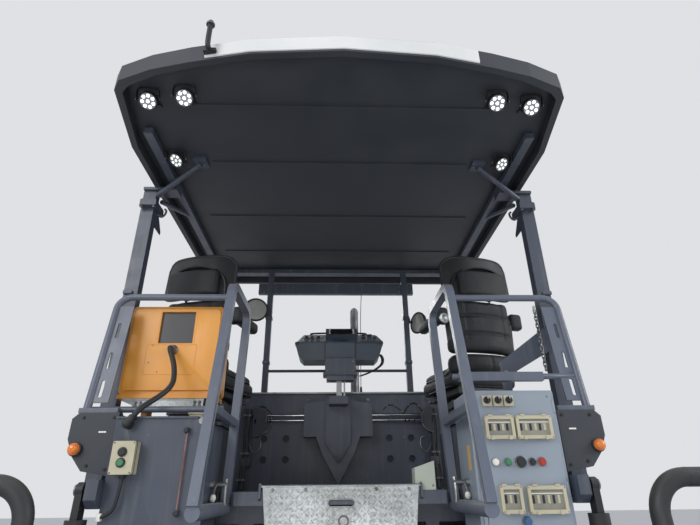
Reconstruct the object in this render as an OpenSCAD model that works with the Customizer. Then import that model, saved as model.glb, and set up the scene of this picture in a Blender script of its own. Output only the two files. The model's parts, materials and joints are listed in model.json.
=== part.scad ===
// Wheeled asphalt paver with a canopy and a telescopic screed, in millimetres.
// +X is the machine's right, +Y its direction of travel, +Z up.
// The origin lies on the ground under the middle of the machine.

/* [Chassis] */
// Distance from the centre plane to the outer face of a main frame plate
frame_half_w = 520; // [480:5:530]
// Thickness of the main frame plates
frame_t = 25; // [15:1:35]
// Height of the lower edge of the main frame
frame_z0 = 400; // [380:5:420]
// Height of the upper edge of the main frame
frame_z1 = 1050; // [1000:5:1080]
// Rear end of the main frame
frame_y0 = -1850; // [-1900:5:-1800]
// Front end of the main frame
frame_y1 = 2900; // [2850:5:2920]

/* [Rear wheels] */
// Radius of a rear tyre
rear_r = 640; // [600:5:660]
// Width of a rear tyre
rear_w = 390; // [350:5:400]
// Distance of a rear wheel's middle from the centre plane
rear_x = 845; // [830:5:850]
// Place of the rear axle along the machine
rear_y = -850; // [-900:5:-800]
// Radius of the rear rims
rear_rim_r = 360; // [330:5:380]

/* [Front wheels] */
// Radius of a front tyre
front_r = 280; // [260:5:290]
// Width of a front tyre
front_w = 250; // [220:5:260]
// Distance of a front wheel's middle from the centre plane
front_x = 865; // [850:5:880]
// Distance of a kingpin from the centre plane
kingpin_x = 630; // [620:5:640]
// Middle of the bogie along the machine
bogie_y = 1620; // [1580:5:1660]
// Distance between the two axles of the bogie
bogie_base = 700; // [680:5:760]
// Radius of the front rims
front_rim_r = 170; // [150:5:190]

/* [Platform] */
// Height of the platform's walking surface
deck_z = 1720; // [1700:5:1740]
// Thickness of the deck with its stiffeners
deck_t = 60; // [40:5:80]
// Distance from the centre plane to the platform's side
deck_half_w = 1050; // [1000:5:1060]
// Rear edge of the platform
deck_y0 = -2330; // [-2340:5:-2300]
// Face of the front wall of the platform
wall_y = -750; // [-780:5:-720]
// Height of the top of the front wall
wall_top = 2425; // [2380:5:2450]
// Half width of the passage onto the platform
passage_half_w = 420; // [380:5:440]
// Rear face of the passage's sill
sill_y = -2120; // [-2140:5:-2100]

/* [Rails] */
// Distance of the entry frames from the centre plane
entry_x = 560; // [550:5:570]
// Width of the square tube of the entry frames
entry_tube = 42; // [36:1:48]
// Top of the entry frames
rail_top = 2690; // [2660:5:2720]
// Outside reach of the handrails from the centre plane
rail_half_w = 1255; // [1240:5:1265]
// Diameter of the handrails
rail_d = 38; // [32:1:44]

/* [Roof] */
// Half width of the roof at its sides
roof_half_w = 1205; // [1190:5:1220]
// Rear end of the roof
roof_y0 = -3150; // [-3180:5:-3100]
// Front end of the roof
roof_y1 = -430; // [-460:5:-380]
// Height of the roof's lower edge
roof_z = 3520; // [3480:5:3540]
// Height of the roof's skirt
roof_h = 95; // [80:5:110]
// Rise of the roof from the skirt to its top
roof_crown = 85; // [60:5:110]
// Distance of a rear post from the centre plane
post_x = 1240; // [1230:5:1245]
// Place of the rear posts along the machine
post_y = -2000; // [-2030:5:-1980]
// Width of a rear post
post_w = 90; // [70:5:100]
// Place of the front posts along the machine
front_post_y = -600; // [-620:5:-590]
// Distance of a front post from the centre plane
front_post_x = 612; // [600:2:624]
// Width of a front post
front_post_w = 48; // [40:2:56]

/* [Hood] */
// Top of the engine hood
hood_z = 2150; // [2100:5:2200]
// Front end of the engine hood
hood_y1 = 1010; // [980:5:1040]
// Distance from the centre plane to the hood's side
hood_half_w = 980; // [950:5:1000]

/* [Hopper] */
// Distance of a wing's hinge from the centre plane
wing_x = 565; // [560:5:580]
// Height of a wing's hinge
wing_z = 640; // [630:5:660]
// Rear end of the wings
wing_y0 = 1080; // [1070:5:1100]
// Front end of the wings
wing_y1 = 2900; // [2850:5:2900]
// Width of a wing's floor from hinge to side wall
wing_floor = 900; // [860:5:920]
// Height of a wing's side wall
wing_wall = 420; // [380:5:440]
// Thickness of the hopper plates
wing_t = 22; // [16:1:28]
// Angle of a wing's floor above level, as it stands folded
wing_fold = 52; // [50:1:54]

/* [Push rollers] */
// Middle of the push beam along the machine
push_y = 3230; // [3220:5:3240]
// Height of the push rollers
push_z = 590; // [560:5:620]
// Radius of the push rollers
push_r = 95; // [80:5:105]
// Length of one push roller
push_len = 620; // [560:10:660]

/* [Screed] */
// Width of the main screed
screed_w = 2500; // [2480:10:2500]
// Front face of the main screed
screed_y1 = -2370; // [-2380:5:-2360]
// Depth of the main screed's plates
screed_depth = 380; // [340:5:400]
// Depth of the plates of an extension
ext_depth = 380; // [340:5:400]
// Height of the walkway on the screed
walk_z = 720; // [680:10:760]
// Place of the tow points along the machine
tow_y = 420; // [380:5:460]
// Height of the tow points
tow_z = 560; // [540:5:580]
// Distance of the tow arms from the centre plane
tow_x = 1130; // [1125:5:1140]
// Thickness of the tow arms
tow_t = 60; // [40:5:70]

/* [Augers] */
// Radius of the augers
auger_r = 190; // [170:5:200]
// Place of the augers along the machine
auger_y = -2130; // [-2140:5:-2120]
// Height of the augers
auger_z = 330; // [320:5:360]
// Length of one auger
auger_len = 985; // [900:5:990]

/* [Hidden] */
$fn = 32;
// Gap between pieces of one body that only lie beside each other
lie = 0.3;
// Gap between pieces that move past each other
run = 8;
// Depth by which parts of one weldment reach into each other
lap = 1;
// Loss of a tube's thickness where it is bent
draw = 0.6;

slate = "#474c57";
black = "#1c1d20";
steel = "#9a9c9e";
zinc = "#a9adae";

// Mirror a shape given for the right side onto the side s, 1 right and -1 left.
module on_side(s) { if (s > 0) children(); else mirror([1, 0, 0]) children(); }
module both_sides() { children(); mirror([1, 0, 0]) children(); }
// Box from its lowest corner to its highest.
module span(a, b) { translate(a) cube(b - a); }
// Plate of thickness t whose outline lies in the plane of Y and Z, from x outwards.
module side_plate(x, t) {
    translate([x, 0, 0]) rotate([90, 0, 90]) linear_extrude(t) children();
}
// Plate of thickness t whose outline lies in the plane of X and Z, from y forwards.
module cross_plate(y, t) {
    translate([0, y + t, 0]) rotate([90, 0, 0]) linear_extrude(t) children();
}
// Cylinder along X from x0 to x1.
module axle(x0, x1, r, y, z) {
    translate([x0, y, z]) rotate([0, 90, 0]) cylinder(h = x1 - x0, r = r);
}
// Rectangle with round corners, from its lowest corner.
module soft_rect(a, b, r) {
    w = b.x - a.x;
    h = b.y - a.y;
    translate(a) {
        translate([r, 0]) square([w - 2 * r, h]);
        translate([0, r]) square([w, h - 2 * r]);
        for (x = [r, w - r], y = [r, h - r]) translate([x, y]) circle(r);
    }
}

function unit(v) = v / norm(v);
function turn_of(a, b, c) = let (d = unit(b - a), e = unit(c - b))
    atan2(d.x * e.y - d.y * e.x, d * e);
function cut_at(p, i, r) = (i == 0 || i == len(p) - 1) ? 0
    : r * tan(abs(turn_of(p[i - 1], p[i], p[i + 1])) / 2);
// Tube bent in one plane along the points p, with bends of radius r on its middle line.
// It is round with diameter w, or w wide in the plane and h thick across it.
module bent_tube(p, r, w, h = 0) {
    for (i = [0:len(p) - 2]) {
        d = unit(p[i + 1] - p[i]);
        a = p[i] + d * (cut_at(p, i, r) - (i == 0 ? 0 : lap));
        b = p[i + 1] - d * (cut_at(p, i + 1, r) - (i == len(p) - 2 ? 0 : lap));
        translate([a.x, a.y, 0]) rotate([0, 0, atan2(d.y, d.x)]) rotate([90, 0, 90])
            linear_extrude(norm(b - a)) tube_section(w, h);
    }
    for (i = [1:1:len(p) - 2]) {
        d = unit(p[i] - p[i - 1]);
        t = turn_of(p[i - 1], p[i], p[i + 1]);
        s = sign(t);
        c = p[i] - d * cut_at(p, i, r) + s * r * [-d.y, d.x];
        a0 = atan2(d.y, d.x) - s * 90;
        translate([c.x, c.y, 0]) rotate([0, 0, s > 0 ? a0 : a0 + t])
            rotate_extrude(angle = abs(t)) translate([r, 0]) tube_section(w - draw, max(h - draw, 0));
    }
}
module tube_section(w, h) {
    if (h == 0) circle(d = w);
    else square([w, h], center = true);
}
// Turn a shape drawn in a plane so that its first axis is Y and its second Z, at x.
module in_side_plane(x) { translate([x, 0, 0]) rotate([90, 0, 90]) children(); }
// Turn a shape drawn in a plane so that its first axis is X and its second Z, at y.
module in_cross_plane(y) { translate([0, y, 0]) rotate([90, 0, 0]) children(); }
// Straight round bar between two points.
module bar(a, b, d) {
    v = b - a;
    translate(a) rotate([0, acos(v.z / norm(v)), atan2(v.y, v.x)])
        cylinder(h = norm(v), d = d);
}

// Chassis

rear_wheel_z = rear_r;
bogie_ys = [bogie_y + bogie_base / 2, bogie_y - bogie_base / 2];
frame_in = frame_half_w - frame_t;
tunnel_floor = 560;
tow_boss_r = 75;
lash_r = 22;
level_x = frame_half_w + 90 + 44;
// Place along Y and height of each lashing eye
lash_eyes = [[frame_y0 + 270, frame_z0 + 45], [frame_y1 - 120, frame_z0 + 160]];
hinge_w = 30;
hinge_ys = [wing_y0 + 200, wing_y0 + 910, wing_y1 - 200];
end_bolt_r = 9;
beam_t = 55;
beam_x0 = frame_half_w + 25;
boss_r = 46;
boss_h = 130;
axle_r = 150;
axle_x1 = 690;
deck_beam_ys = [frame_y0, wall_y - 60];
push_pivot_y = frame_y1 + 85;
hub_bolt_r = 110;

// Side plates with round cut-outs, closed by cross members and the tow point bosses.
module main_frame() {
    color(slate) {
        both_sides() {
            difference() {
                side_plate(frame_in, frame_t) polygon([
                    [frame_y0, frame_z0 + 120], [frame_y0 + 180, frame_z0],
                    [frame_y1 - 350, frame_z0], [frame_y1, frame_z0 + 130],
                    [frame_y1, wing_z - 60], [wing_y0 - 40, wing_z - 60],
                    [wing_y0 - 40, frame_z1], [frame_y0, frame_z1]]);
                for (y = [-250, 150, 550])
                    axle(frame_in - 1, frame_half_w + 1, 90, y, frame_z0 + 330);
                // Eyes for lashing the machine down
                for (e = lash_eyes) axle(frame_in - 1, frame_half_w + 1, lash_r, e.x, e.y);
            }
            // Hinge brackets of the hopper wing with their pin
            for (y = hinge_ys) cross_plate(y - hinge_w / 2, hinge_w) hull() {
                translate([wing_x, wing_z]) circle(24);
                translate([frame_in, wing_z - 95]) square([frame_t, 36]);
            }
            translate([wing_x, wing_y0 + 10, wing_z]) rotate([-90, 0, 0])
                cylinder(h = wing_y1 - wing_y0 - 20, r = 14);
            axle(frame_half_w, tow_x - tow_t / 2 - run, 60, tow_y, tow_z);
            axle(frame_half_w, frame_half_w + 90, tow_boss_r + 25, tow_y, tow_z);
            side_plate(frame_half_w, 90) polygon([
                [tow_y - 180, tow_z + 40], [tow_y + 180, tow_z + 40],
                [tow_y + 120, frame_z1 - 60], [tow_y - 120, frame_z1 - 60]]);
            axle(tow_x - tow_t / 2 - run, tow_x + tow_t / 2 + 20, 32, tow_y, tow_z);
            // Levelling cylinder of the tow point
            translate([level_x, tow_y, tow_z + 30]) cylinder(h = 130, r = 22);
            translate([level_x, tow_y, tow_z + 130]) cylinder(h = 340, r = 42);
            span([frame_half_w + 89, tow_y - 40, tow_z + 420], [level_x, tow_y + 40, tow_z + 462]);
            // Uprights that carry the beams under the platform
            for (y = deck_beam_ys)
                span([frame_half_w - 70, y, frame_z1 - 90], [frame_half_w, y + 60, deck_z - deck_t]);
        }
        for (y = deck_beam_ys)
            span([60 - deck_half_w, y, deck_z - deck_t - 90], [deck_half_w - 60, y + 60, deck_z - deck_t]);
        for (y = [frame_y0, -1250, -450, 350, wing_y0 - 65])
            span([-frame_in, y, frame_z1 - 90], [frame_in, y + 25, frame_z1]);
        // Front beam with the pivot of the push beam
        span([-frame_in - lap, frame_y1 - 40, push_z - 105], [frame_in + lap, frame_y1, push_z + 105]);
        translate([0, push_pivot_y, push_z - 100]) cylinder(h = 200, r = 35);
        for (z = [-100, 62]) span([-90, frame_y1 - lap, push_z + z], [90, push_pivot_y + 30, push_z + z + 38]);
    }
}

module engine_block() {
    color(steel) span([-420, -520, frame_z1 + lie], [420, 780, 1760]);
}

// Closed final drives between the frame plates and the rear rims.
module rear_axle() {
    color(slate) both_sides() {
        axle(frame_half_w, axle_x1, axle_r, rear_y, rear_wheel_z);
        axle(frame_half_w, frame_half_w + 35, axle_r + 70, rear_y, rear_wheel_z);
        axle(axle_x1, rear_x - lie, 70, rear_y, rear_wheel_z);
    }
}

// Rocking beams of the bogie, each pinned to the frame at its middle.
module bogie_beams() {
    color(slate) both_sides() {
        difference() {
            union() {
                side_plate(beam_x0, beam_t) polygon([
                    [bogie_ys[1] - 60, front_r - 60], [bogie_ys[0] + 60, front_r - 60],
                    [bogie_ys[0] + 60, front_r + 60], [bogie_ys[0] - 70, front_r + 60],
                    [bogie_y + 110, front_r + 190], [bogie_y - 110, front_r + 190],
                    [bogie_ys[1] + 70, front_r + 60], [bogie_ys[1] - 60, front_r + 60]]);
                for (y = bogie_ys) {
                    translate([kingpin_x, y, front_r - boss_h / 2]) cylinder(h = boss_h, r = boss_r);
                    span([beam_x0, y - boss_r, front_r - 55], [kingpin_x, y + boss_r, front_r + 55]);
                }
            }
            for (y = bogie_ys) translate([kingpin_x, y, front_r - 100]) cylinder(h = 200, r = 22.05);
        }
        axle(frame_half_w, beam_x0 + beam_t + 12, 50, bogie_y, front_r + 140);
        axle(frame_half_w, beam_x0, 85, bogie_y, front_r + 140);
    }
}

// Steered carrier of a front wheel, for the right side, at its axle's place y.
module knuckle_shape(y) {
    plate = 22;
    top = front_r + boss_h / 2 + 1;
    bottom = front_r - boss_h / 2 - 1;
    web_x = kingpin_x + boss_r + 8;
    translate([kingpin_x, y, bottom - plate]) cylinder(h = top - bottom + 2 * plate, r = 22);
    for (z = [top, bottom - plate]) {
        translate([kingpin_x, y, z]) cylinder(h = plate, r = 42);
        span([kingpin_x, y - 42, z], [web_x + plate, y + 42, z + plate]);
    }
    span([web_x, y - 42, bottom - plate], [web_x + plate, y + 42, top + plate]);
    axle(web_x + plate - lap, front_x - front_w / 2 + 40 - lie, 40, y, front_r);
    // Steering arm, below the beam, reaching inwards to the link
    span([link_x, y - 18, bottom - plate], [kingpin_x, y + 18, bottom - 2]);
    translate([link_x, y, bottom - plate]) cylinder(h = plate - 2, r = 26);
    translate([link_x, y, link_z - 4]) cylinder(h = bottom - plate - link_z + 4, r = 10);
}
link_x = kingpin_x - 95;
link_z = front_r - boss_h / 2 - 60;

module steering_link() {
    color(steel) difference() {
        union() {
            for (y = bogie_ys) translate([link_x, y, link_z - 1]) cylinder(h = 26, r = 22);
            span([link_x - 12, bogie_ys[1], link_z + 2], [link_x + 12, bogie_ys[0], link_z + 22]);
        }
        for (y = bogie_ys) translate([link_x, y, link_z - 6]) cylinder(h = 40, r = 10.06);
    }
}

// Solid front tyre with its dished rim, for the right side.
module front_wheel_shape(y) {
    translate([front_x - front_w / 2, y, front_r]) rotate([0, 90, 0]) {
        color(black) rotate_extrude($fn = 48) polygon([
            [front_rim_r - lap, 0], [front_r - 14, 0], [front_r, 22], [front_r, front_w - 22],
            [front_r - 14, front_w], [front_rim_r - lap, front_w]]);
        color(slate) rotate_extrude($fn = 48) polygon([
            [40.05, 0], [front_rim_r - 25, 0], [front_rim_r - 25, -1], [front_rim_r, -1],
            [front_rim_r, front_w + 1], [front_rim_r - 12, front_w + 1],
            [front_rim_r - 22, 90], [80, 70], [80, 120], [0, 120], [0, 40], [40.05, 40]]);
    }
}

tread_bars = 24;
// Rear tyre with its tread bars, for the right side.
module rear_tyre_shape() {
    color(black) translate([rear_x, rear_y, rear_wheel_z]) rotate([0, 90, 0]) {
        base = rear_r - 22;
        rotate_extrude($fn = 64) polygon([
            [rear_rim_r, -rear_w / 2 + 40], [rear_rim_r + 40, -rear_w / 2 + 6],
            [base - 90, -rear_w / 2], [base - 20, -rear_w / 2 + 22], [base, -rear_w / 2 + 60],
            [base, rear_w / 2 - 60], [base - 20, rear_w / 2 - 22], [base - 90, rear_w / 2],
            [rear_rim_r + 40, rear_w / 2 - 6], [rear_rim_r, rear_w / 2 - 40]]);
        difference() {
            for (k = [0:tread_bars - 1], s = [-1, 1])
                rotate([0, 0, (k + (s + 1) / 4) * 360 / tread_bars])
                    translate([base - 12, -28, s > 0 ? 6 : -rear_w / 2 + 20])
                        cube([34, 56, rear_w / 2 - 26]);
            difference() {
                translate([0, 0, -rear_w]) cylinder(h = 2 * rear_w, r = rear_r + 60);
                translate([0, 0, -rear_w]) cylinder(h = 2 * rear_w, r = rear_r, $fn = 64);
            }
        }
    }
}

// Rear rim: barrel, dished disc and the ring of wheel nuts, for the right side.
module rear_rim_shape() {
    color(slate) translate([rear_x, rear_y, rear_wheel_z]) rotate([0, 90, 0]) {
        rotate_extrude($fn = 64) polygon([
            [rear_rim_r - 16, -rear_w / 2 + 30], [rear_rim_r, -rear_w / 2 + 30],
            [rear_rim_r, rear_w / 2 - 30], [rear_rim_r - 16, rear_w / 2 - 30],
            [rear_rim_r - 30, 30], [180, 50], [180, 80], [90, 80], [90, 110], [0, 110],
            [0, 0], [150, 0], [rear_rim_r - 40, -20]]);
        for (k = [0:9]) rotate([0, 0, k * 36]) translate([135, 0, 80 - lap]) cylinder(h = 26, r = 16);
    }
}

// Platform, hood and cabinets

cowl_t = 6;
hood_split = 190;
cowl_y0 = wall_y + 45;
arch_z = 2 * rear_r + 50;
arch_y = rear_y + rear_r + 40;
rail_zs = [2255, 2217];
slide_rail_d = 18;
slide_rail_y = wall_y - 45;
box_y = -2055;
arm_w = 51;
slot_x0 = entry_x - 45;
slot_x1 = entry_x + 40;
entry_y = [-2680, -2384, -1915, -2080];
slot_y = entry_y[3] + 45;
// Outline of the deck's right half, from the front wall back to the sill.
deck_side = [[deck_half_w, wall_y], [deck_half_w, box_y + lie], [slot_x1, box_y + lie],
    [slot_x1, slot_y], [slot_x0, slot_y], [slot_x0, sill_y]];
case_z = [2160, 2685];
case_x = [-1180, -664];
case_y = [-2080, -1880];
box_x = deck_half_w - lap - lie;
left_box = [[-box_x, deck_y0, 1180], [-610, box_y, 2036]];
right_box = [[610, deck_y0, 1180], [1035, box_y, 2156]];

flap_half_w = 381;
flap_z = 1742;
// Deck, front wall, fenders, cylinder brackets and the rails on which the console slides.
module platform() {
    color(slate) {
        // Tank between the frame plates
        translate([0, 0, frame_z1 + lie]) linear_extrude(deck_z - deck_t - frame_z1)
            soft_rect([-470, -1770], [470, -1290], 60);
        // Lugs of the flap's hinge
        for (s = [-1, 1]) side_plate(s > 0 ? flap_half_w + 5 : -flap_half_w - 15, 10) difference() {
            polygon([[sill_y + 30, deck_z - lap], [sill_y + 30, deck_z + 16], [sill_y - 4, flap_z + 14],
                [sill_y - 20, flap_z + 8], [sill_y - 20, deck_z - 30], [sill_y + lap, deck_z - 40],
                [sill_y + lap, deck_z - lap]]);
            translate([sill_y - 8, flap_z]) circle(7.05);
        }
        translate([0, 0, deck_z - deck_t]) linear_extrude(deck_t)
            polygon(concat(deck_side, [for (i = [len(deck_side) - 1:-1:0]) [-deck_side[i].x, deck_side[i].y]]));
        both_sides() {
            // Fender and side skirt round the rear wheel
            side_plate(deck_half_w - 8, 8) polygon([
                [box_y + lie, deck_z - deck_t + 5], [box_y + lie, 1500],
                [rear_y - rear_r - 60, 1500], [rear_y - rear_r + 110, arch_z],
                [wall_y + 35, arch_z], [wall_y + 35, deck_z - deck_t + 5]]);
            span([frame_half_w + run, rear_y - rear_r + 110, arch_z], [deck_half_w - 4, wall_y + 35, arch_z + 8]);
            // Arm that carries the lift cylinder's upper pin
            side_plate(deck_half_w - lap, arm_w + lap) polygon([
                [box_y + 80, deck_z - deck_t], [deck_y0 - 20, deck_z - deck_t], [lift_y - 40, lift_z1 - 40],
                [lift_y - 40, lift_z1 + 40], [box_y + 80, lift_z1 + 40]]);
            axle(deck_half_w + arm_w - lap, tow_x + 20, 15, lift_y, lift_z1);
        }
    }
    color(slate) difference() {
        cross_plate(wall_y, 35) soft_rect([-1030, deck_z - 20], [1030, wall_top], 40);
        // Deep panel that carries the console's rails
        for (x = [-570, -400, 400, 570], z = [1938, 2088]) translate([x, wall_y - 1, z]) rotate([-90, 0, 0])
            cylinder(h = 40, r = 26);
    }
    color(zinc) {
        span([-1030, wall_y - 24, wall_top], [1030, wall_y + 35, wall_top + 12]);
        for (z = rail_zs) {
            axle(-560, 660, slide_rail_d / 2, slide_rail_y, z);
        }
        for (x = [-560, 650])
            span([x, slide_rail_y - 12, rail_zs[1] - 20], [x + 12, wall_y, rail_zs[0] + 20]);
    }
}

// Steps from the screed's walkway up to the sill, one stringer each side.
module steps() {
    color(slate) {
        both_sides() side_plate(270, 8) polygon([
            [sill_y + 10, deck_z - deck_t + lap], [sill_y + 10, 1470], [sill_y - 30, 1440], [sill_y - 170, 1150],
            [sill_y - 40, 1150], [sill_y + 90, 1440], [sill_y + 90, deck_z - deck_t + lap]]);
        // Columns: height of a tread, its rear edge measured from the sill
        for (t = [[1150, -165], [1400, -40]])
            span([-272, sill_y + t[1], t[0]], [272, sill_y + t[1] + 130, t[0] + 26]);
    }
}

// Side and front walls round the engine, with banks of louvres and a front grille.
module engine_cowl() {
    color(slate) {
        both_sides() difference() {
            side_plate(hood_half_w - cowl_t, cowl_t) polygon([
                [cowl_y0, arch_z + 12], [arch_y, arch_z + 12], [arch_y + 60, frame_z1],
                [hood_y1, frame_z1], [hood_y1, hood_z], [cowl_y0, hood_z]]);
            for (y = [-120, 230, 580], k = [0:9])
                span([hood_half_w - 60, y, 1500 + k * 48], [hood_half_w + 1, y + 280, 1522 + k * 48]);
        }
        cross_plate(hood_y1 - cowl_t, cowl_t) difference() {
            translate([lap - hood_half_w, frame_z1]) square([2 * hood_half_w - 2 * lap, hood_z - frame_z1]);
            for (k = [0:11]) translate([-420, 1500 + k * 46]) square([840, 24]);
        }
        cross_plate(cowl_y0, cowl_t) translate([lap - hood_half_w, arch_z + 12])
            square([2 * hood_half_w - 2 * lap, hood_z - arch_z - 12]);
        for (y = [cowl_y0 + cowl_t - lap, hood_y1 - 60 - cowl_t + lap]) difference() {
            span([lap - hood_half_w, y, arch_z + 40], [hood_half_w - lap, y + 60, arch_z + 52]);
            span([-430, y - 1, arch_z + 39], [430, y + 61, arch_z + 53]);
        }
        // Hinge lugs and pins of the lid
        for (x = lid_hinge_xs) {
            for (e = [-12, 62]) side_plate(x + e, 10) {
                translate(lid_axis) circle(8);
                translate([lid_axis.x - 8, hood_z + cowl_t - lap]) square([16, lid_axis.y - hood_z - cowl_t + lap]);
            }
            axle(x - 12, x + 72, 3.5, lid_axis.x, lid_axis.y);
        }
        // Fixed top behind the lid, with the hole for the exhaust stack
        difference() {
            span([lap - hood_half_w, cowl_y0, hood_z - lap], [hood_half_w - lap, hood_split, hood_z + cowl_t]);
            translate([stack.x, stack.y, hood_z - 10]) cylinder(h = 40, r = stack_d / 2 + 8);
        }
        // Sills down to the frame
        both_sides() span([frame_half_w, arch_y + 60, frame_z1 - 20], [hood_half_w, hood_y1, frame_z1]);
    }
}

lid_hinge_xs = [-700, 640];
lid_axis = [hood_split - 4, hood_z + cowl_t + 9];
// Lid over the engine, hinged at its rear edge, a shallow tray with a raised panel.
module hood_lid() {
    color(slate) difference() {
        union() {
            for (x = lid_hinge_xs) {
                axle(x, x + 60, 8, lid_axis.x, lid_axis.y);
                span([x, lid_axis.x, lid_axis.y - 7], [x + 60, hood_split + 7, lid_axis.y + 7]);
            }
            translate([0, 0, hood_z + lie]) linear_extrude(42)
                soft_rect([-hood_half_w, hood_split + 6], [hood_half_w, hood_y1 + 12], 40);
            translate([0, 0, hood_z + 40]) linear_extrude(18)
                soft_rect([-700, hood_split + 120], [700, 880], 50);
        }
        for (x = lid_hinge_xs) axle(x - 1, x + 61, 3.56, lid_axis.x, lid_axis.y);
        translate([0, 0, hood_z + 34 - 40]) linear_extrude(41)
            soft_rect([24 - hood_half_w, hood_split + 30], [hood_half_w - 24, hood_y1 - 24], 30);
    }
}
stack = [178, 100];
stack_d = 84;
stack_top = 3455;

// Silencer on the engine and its stack.
module exhaust_stack() {
    color(steel) translate([stack.x, stack.y, 0]) {
        translate([0, 0, 1760 + lie]) cylinder(h = hood_z - 1760 - 30, r = stack_d / 2 + 30);
        difference() {
            translate([0, 0, hood_z - 40]) cylinder(h = stack_top - hood_z + 40, r = stack_d / 2);
            translate([0, 0, hood_z + 200]) cylinder(h = stack_top, r = stack_d / 2 - 3);
            // Tip cut aslant, open to the front
            translate([0, -stack_d / 2, stack_top]) rotate([-48, 0, 0])
                translate([-stack_d, 0, 0]) cube([2 * stack_d, 3 * stack_d, stack_d]);
        }
        translate([0, 0, hood_z + cowl_t + lie]) cylinder(h = 12, r = stack_d / 2 + 22);
    }
}

// Yellow case on its pale mounting plate, with a round-cornered body and a lower lip.
module storage_case() {
    color("#d79a2e") {
        difference() {
            cross_plate(case_y[0] + 12, case_y[1] - case_y[0] - 12)
                soft_rect([case_x[0], case_z[0] + 30], [case_x[1], case_z[1]], 26);
            span([-1010, case_y[0], 2468], [-822, case_y[0] + 22, 2650]);
        }
        cross_plate(case_y[0], 14) difference() {
            soft_rect([case_x[0] + 18, case_z[0] + 52], [case_x[1] - 18, case_z[1] - 18], 20);
            translate([-1010, 2468]) square([188, 182]);
        }
        span([case_x[0] + 6, case_y[0] - 8, case_z[0] + 8], [case_x[1] - 6, case_y[1] - 4, case_z[0] + 31]);
    }
    color(black) span([-1008, case_y[0] + 14, 2470], [-824, case_y[0] + 22, 2648]);
    color(zinc) {
        span([-1090, case_y[0] - 4, case_z[0] - 4], [-720, case_y[1] - 20, case_z[0] + 8]);
        for (x = [-1060, -780])
            span([x, case_y[0] + 60, left_box[1].z + 8 + lie], [x + 30, case_y[1] - 60, case_z[0] - 4]);
    }
    color(black) translate([-921, case_y[0] + 2, 2429]) rotate([90, 0, 0]) cylinder(h = 30, r = 19);
}

// Dark cabinet at the left of the passage, with its elbow socket and lifting rod.
module left_cabinet() {
    color(slate) {
        cross_plate(left_box[0].y, left_box[1].y - left_box[0].y)
            polygon([[left_box[0].x, left_box[0].z], [left_box[1].x, left_box[0].z],
                [left_box[1].x, left_box[1].z - 24], [left_box[1].x - 60, left_box[1].z],
                [left_box[0].x, left_box[1].z]]);
        span([left_box[0].x, left_box[0].y - 10, left_box[1].z], [left_box[1].x - 62, case_y[1] - 40,
            left_box[1].z + 8]);
    }
    color(black) {
        translate([plug.x, left_box[0].y - 34, plug.z]) rotate([-90, 0, 0]) cylinder(h = 34, r = 21);
        translate([plug.x, left_box[0].y - 34, plug.z]) sphere(r = 21);
        translate([plug.x, left_box[0].y - 34, plug.z]) rotate([0, 35, 0]) cylinder(h = 40, r = 18);
    }
    color("#a8554a") bar([-711, left_box[0].y - 12, 1980], [-716, left_box[0].y - 12, 1640], 8);
    for (z = [1980, 1640]) color(black) span([-724, left_box[0].y - 20, z - 12],
        [-704, left_box[0].y, z + 12]);
    color(zinc) translate([-653, left_box[0].y + 0.5, 2035 - 24 + 12]) rotate([90, 0, 0])
        cylinder(h = 6, r = 14);
}
plug = [-985, 0, 2008];

module button_box() {
    color("#b9b093") {
        cross_plate(left_box[0].y - 62, 61.7) soft_rect([-1018, 1794], [-918, 1932], 8);
    }
    for (b = [[1886, black], [1842, "#2f7a4a"]]) color(b[1])
        translate([-970, left_box[0].y - 61, b[0]]) rotate([90, 0, 0]) cylinder(h = 13, r = 14);
}

// Grey switch cabinet at the right of the passage.
module switch_cabinet() {
    color("#8d99a5") {
        cross_plate(right_box[0].y, right_box[1].y - right_box[0].y)
            soft_rect([right_box[0].x, right_box[0].z], [right_box[1].x, right_box[1].z], 10);
        cross_plate(right_box[0].y - 9, 10) difference() {
            soft_rect([right_box[0].x + 14, right_box[0].z + 20], [right_box[1].x - 14, right_box[1].z - 14], 8);
            translate([right_box[0].x + 30, 0]) square([3, 3000]);
        }
    }
}

// Columns: left, bottom, width, height of each hinged window cover.
covers = [[673, 1930, 138, 104], [821, 1930, 171, 104], [703, 1622, 100, 112], [826, 1620, 174, 112]];
// Columns: place along X, height, radius and colour of each button.
buttons = [[705, 1832, 12, "#e8e8e2"], [763, 1832, 12, "#2f7a4a"], [823, 1832, 20, "#26282b"],
    [876, 1832, 12, "#26282b"], [921, 1832, 14, "#b03a30"], [812, 1590, 15, "#2b5d94"]];
module cabinet_controls() {
    face = right_box[0].y - 9;
    for (c = covers) {
        color("#a59f8b") cross_plate(face - 26, 25.7) difference() {
            soft_rect([c[0], c[1]], [c[0] + c[2], c[1] + c[3]], 8);
            translate([c[0] + 14, c[1] + 16]) square([c[2] - 28, c[3] - 32]);
        }
        color("#6f7478") cross_plate(face - 16, 15.7)
            translate([c[0] + 14, c[1] + 16]) square([c[2] - 28, c[3] - 32]);
    }
    for (x = [699, 752, 805]) color("#a59f8b") {
        cross_plate(face - 14, 13.7) soft_rect([x - 23, 2080], [x + 23, 2129], 5);
        translate([x, face - 13, 2107]) rotate([90, 0, 0]) cylinder(h = 14, r = 15);
        span([x - 4, face - 36, 2092], [x + 4, face - 26, 2122]);
    }
    for (b = buttons) color(b[3]) translate([b[0], face - lie, b[1]]) rotate([90, 0, 0]) {
        cylinder(h = 8, r = b[2] + 4);
        cylinder(h = 18, r = b[2]);
    }
}

guard_x = rail_half_w + 13;
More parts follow.
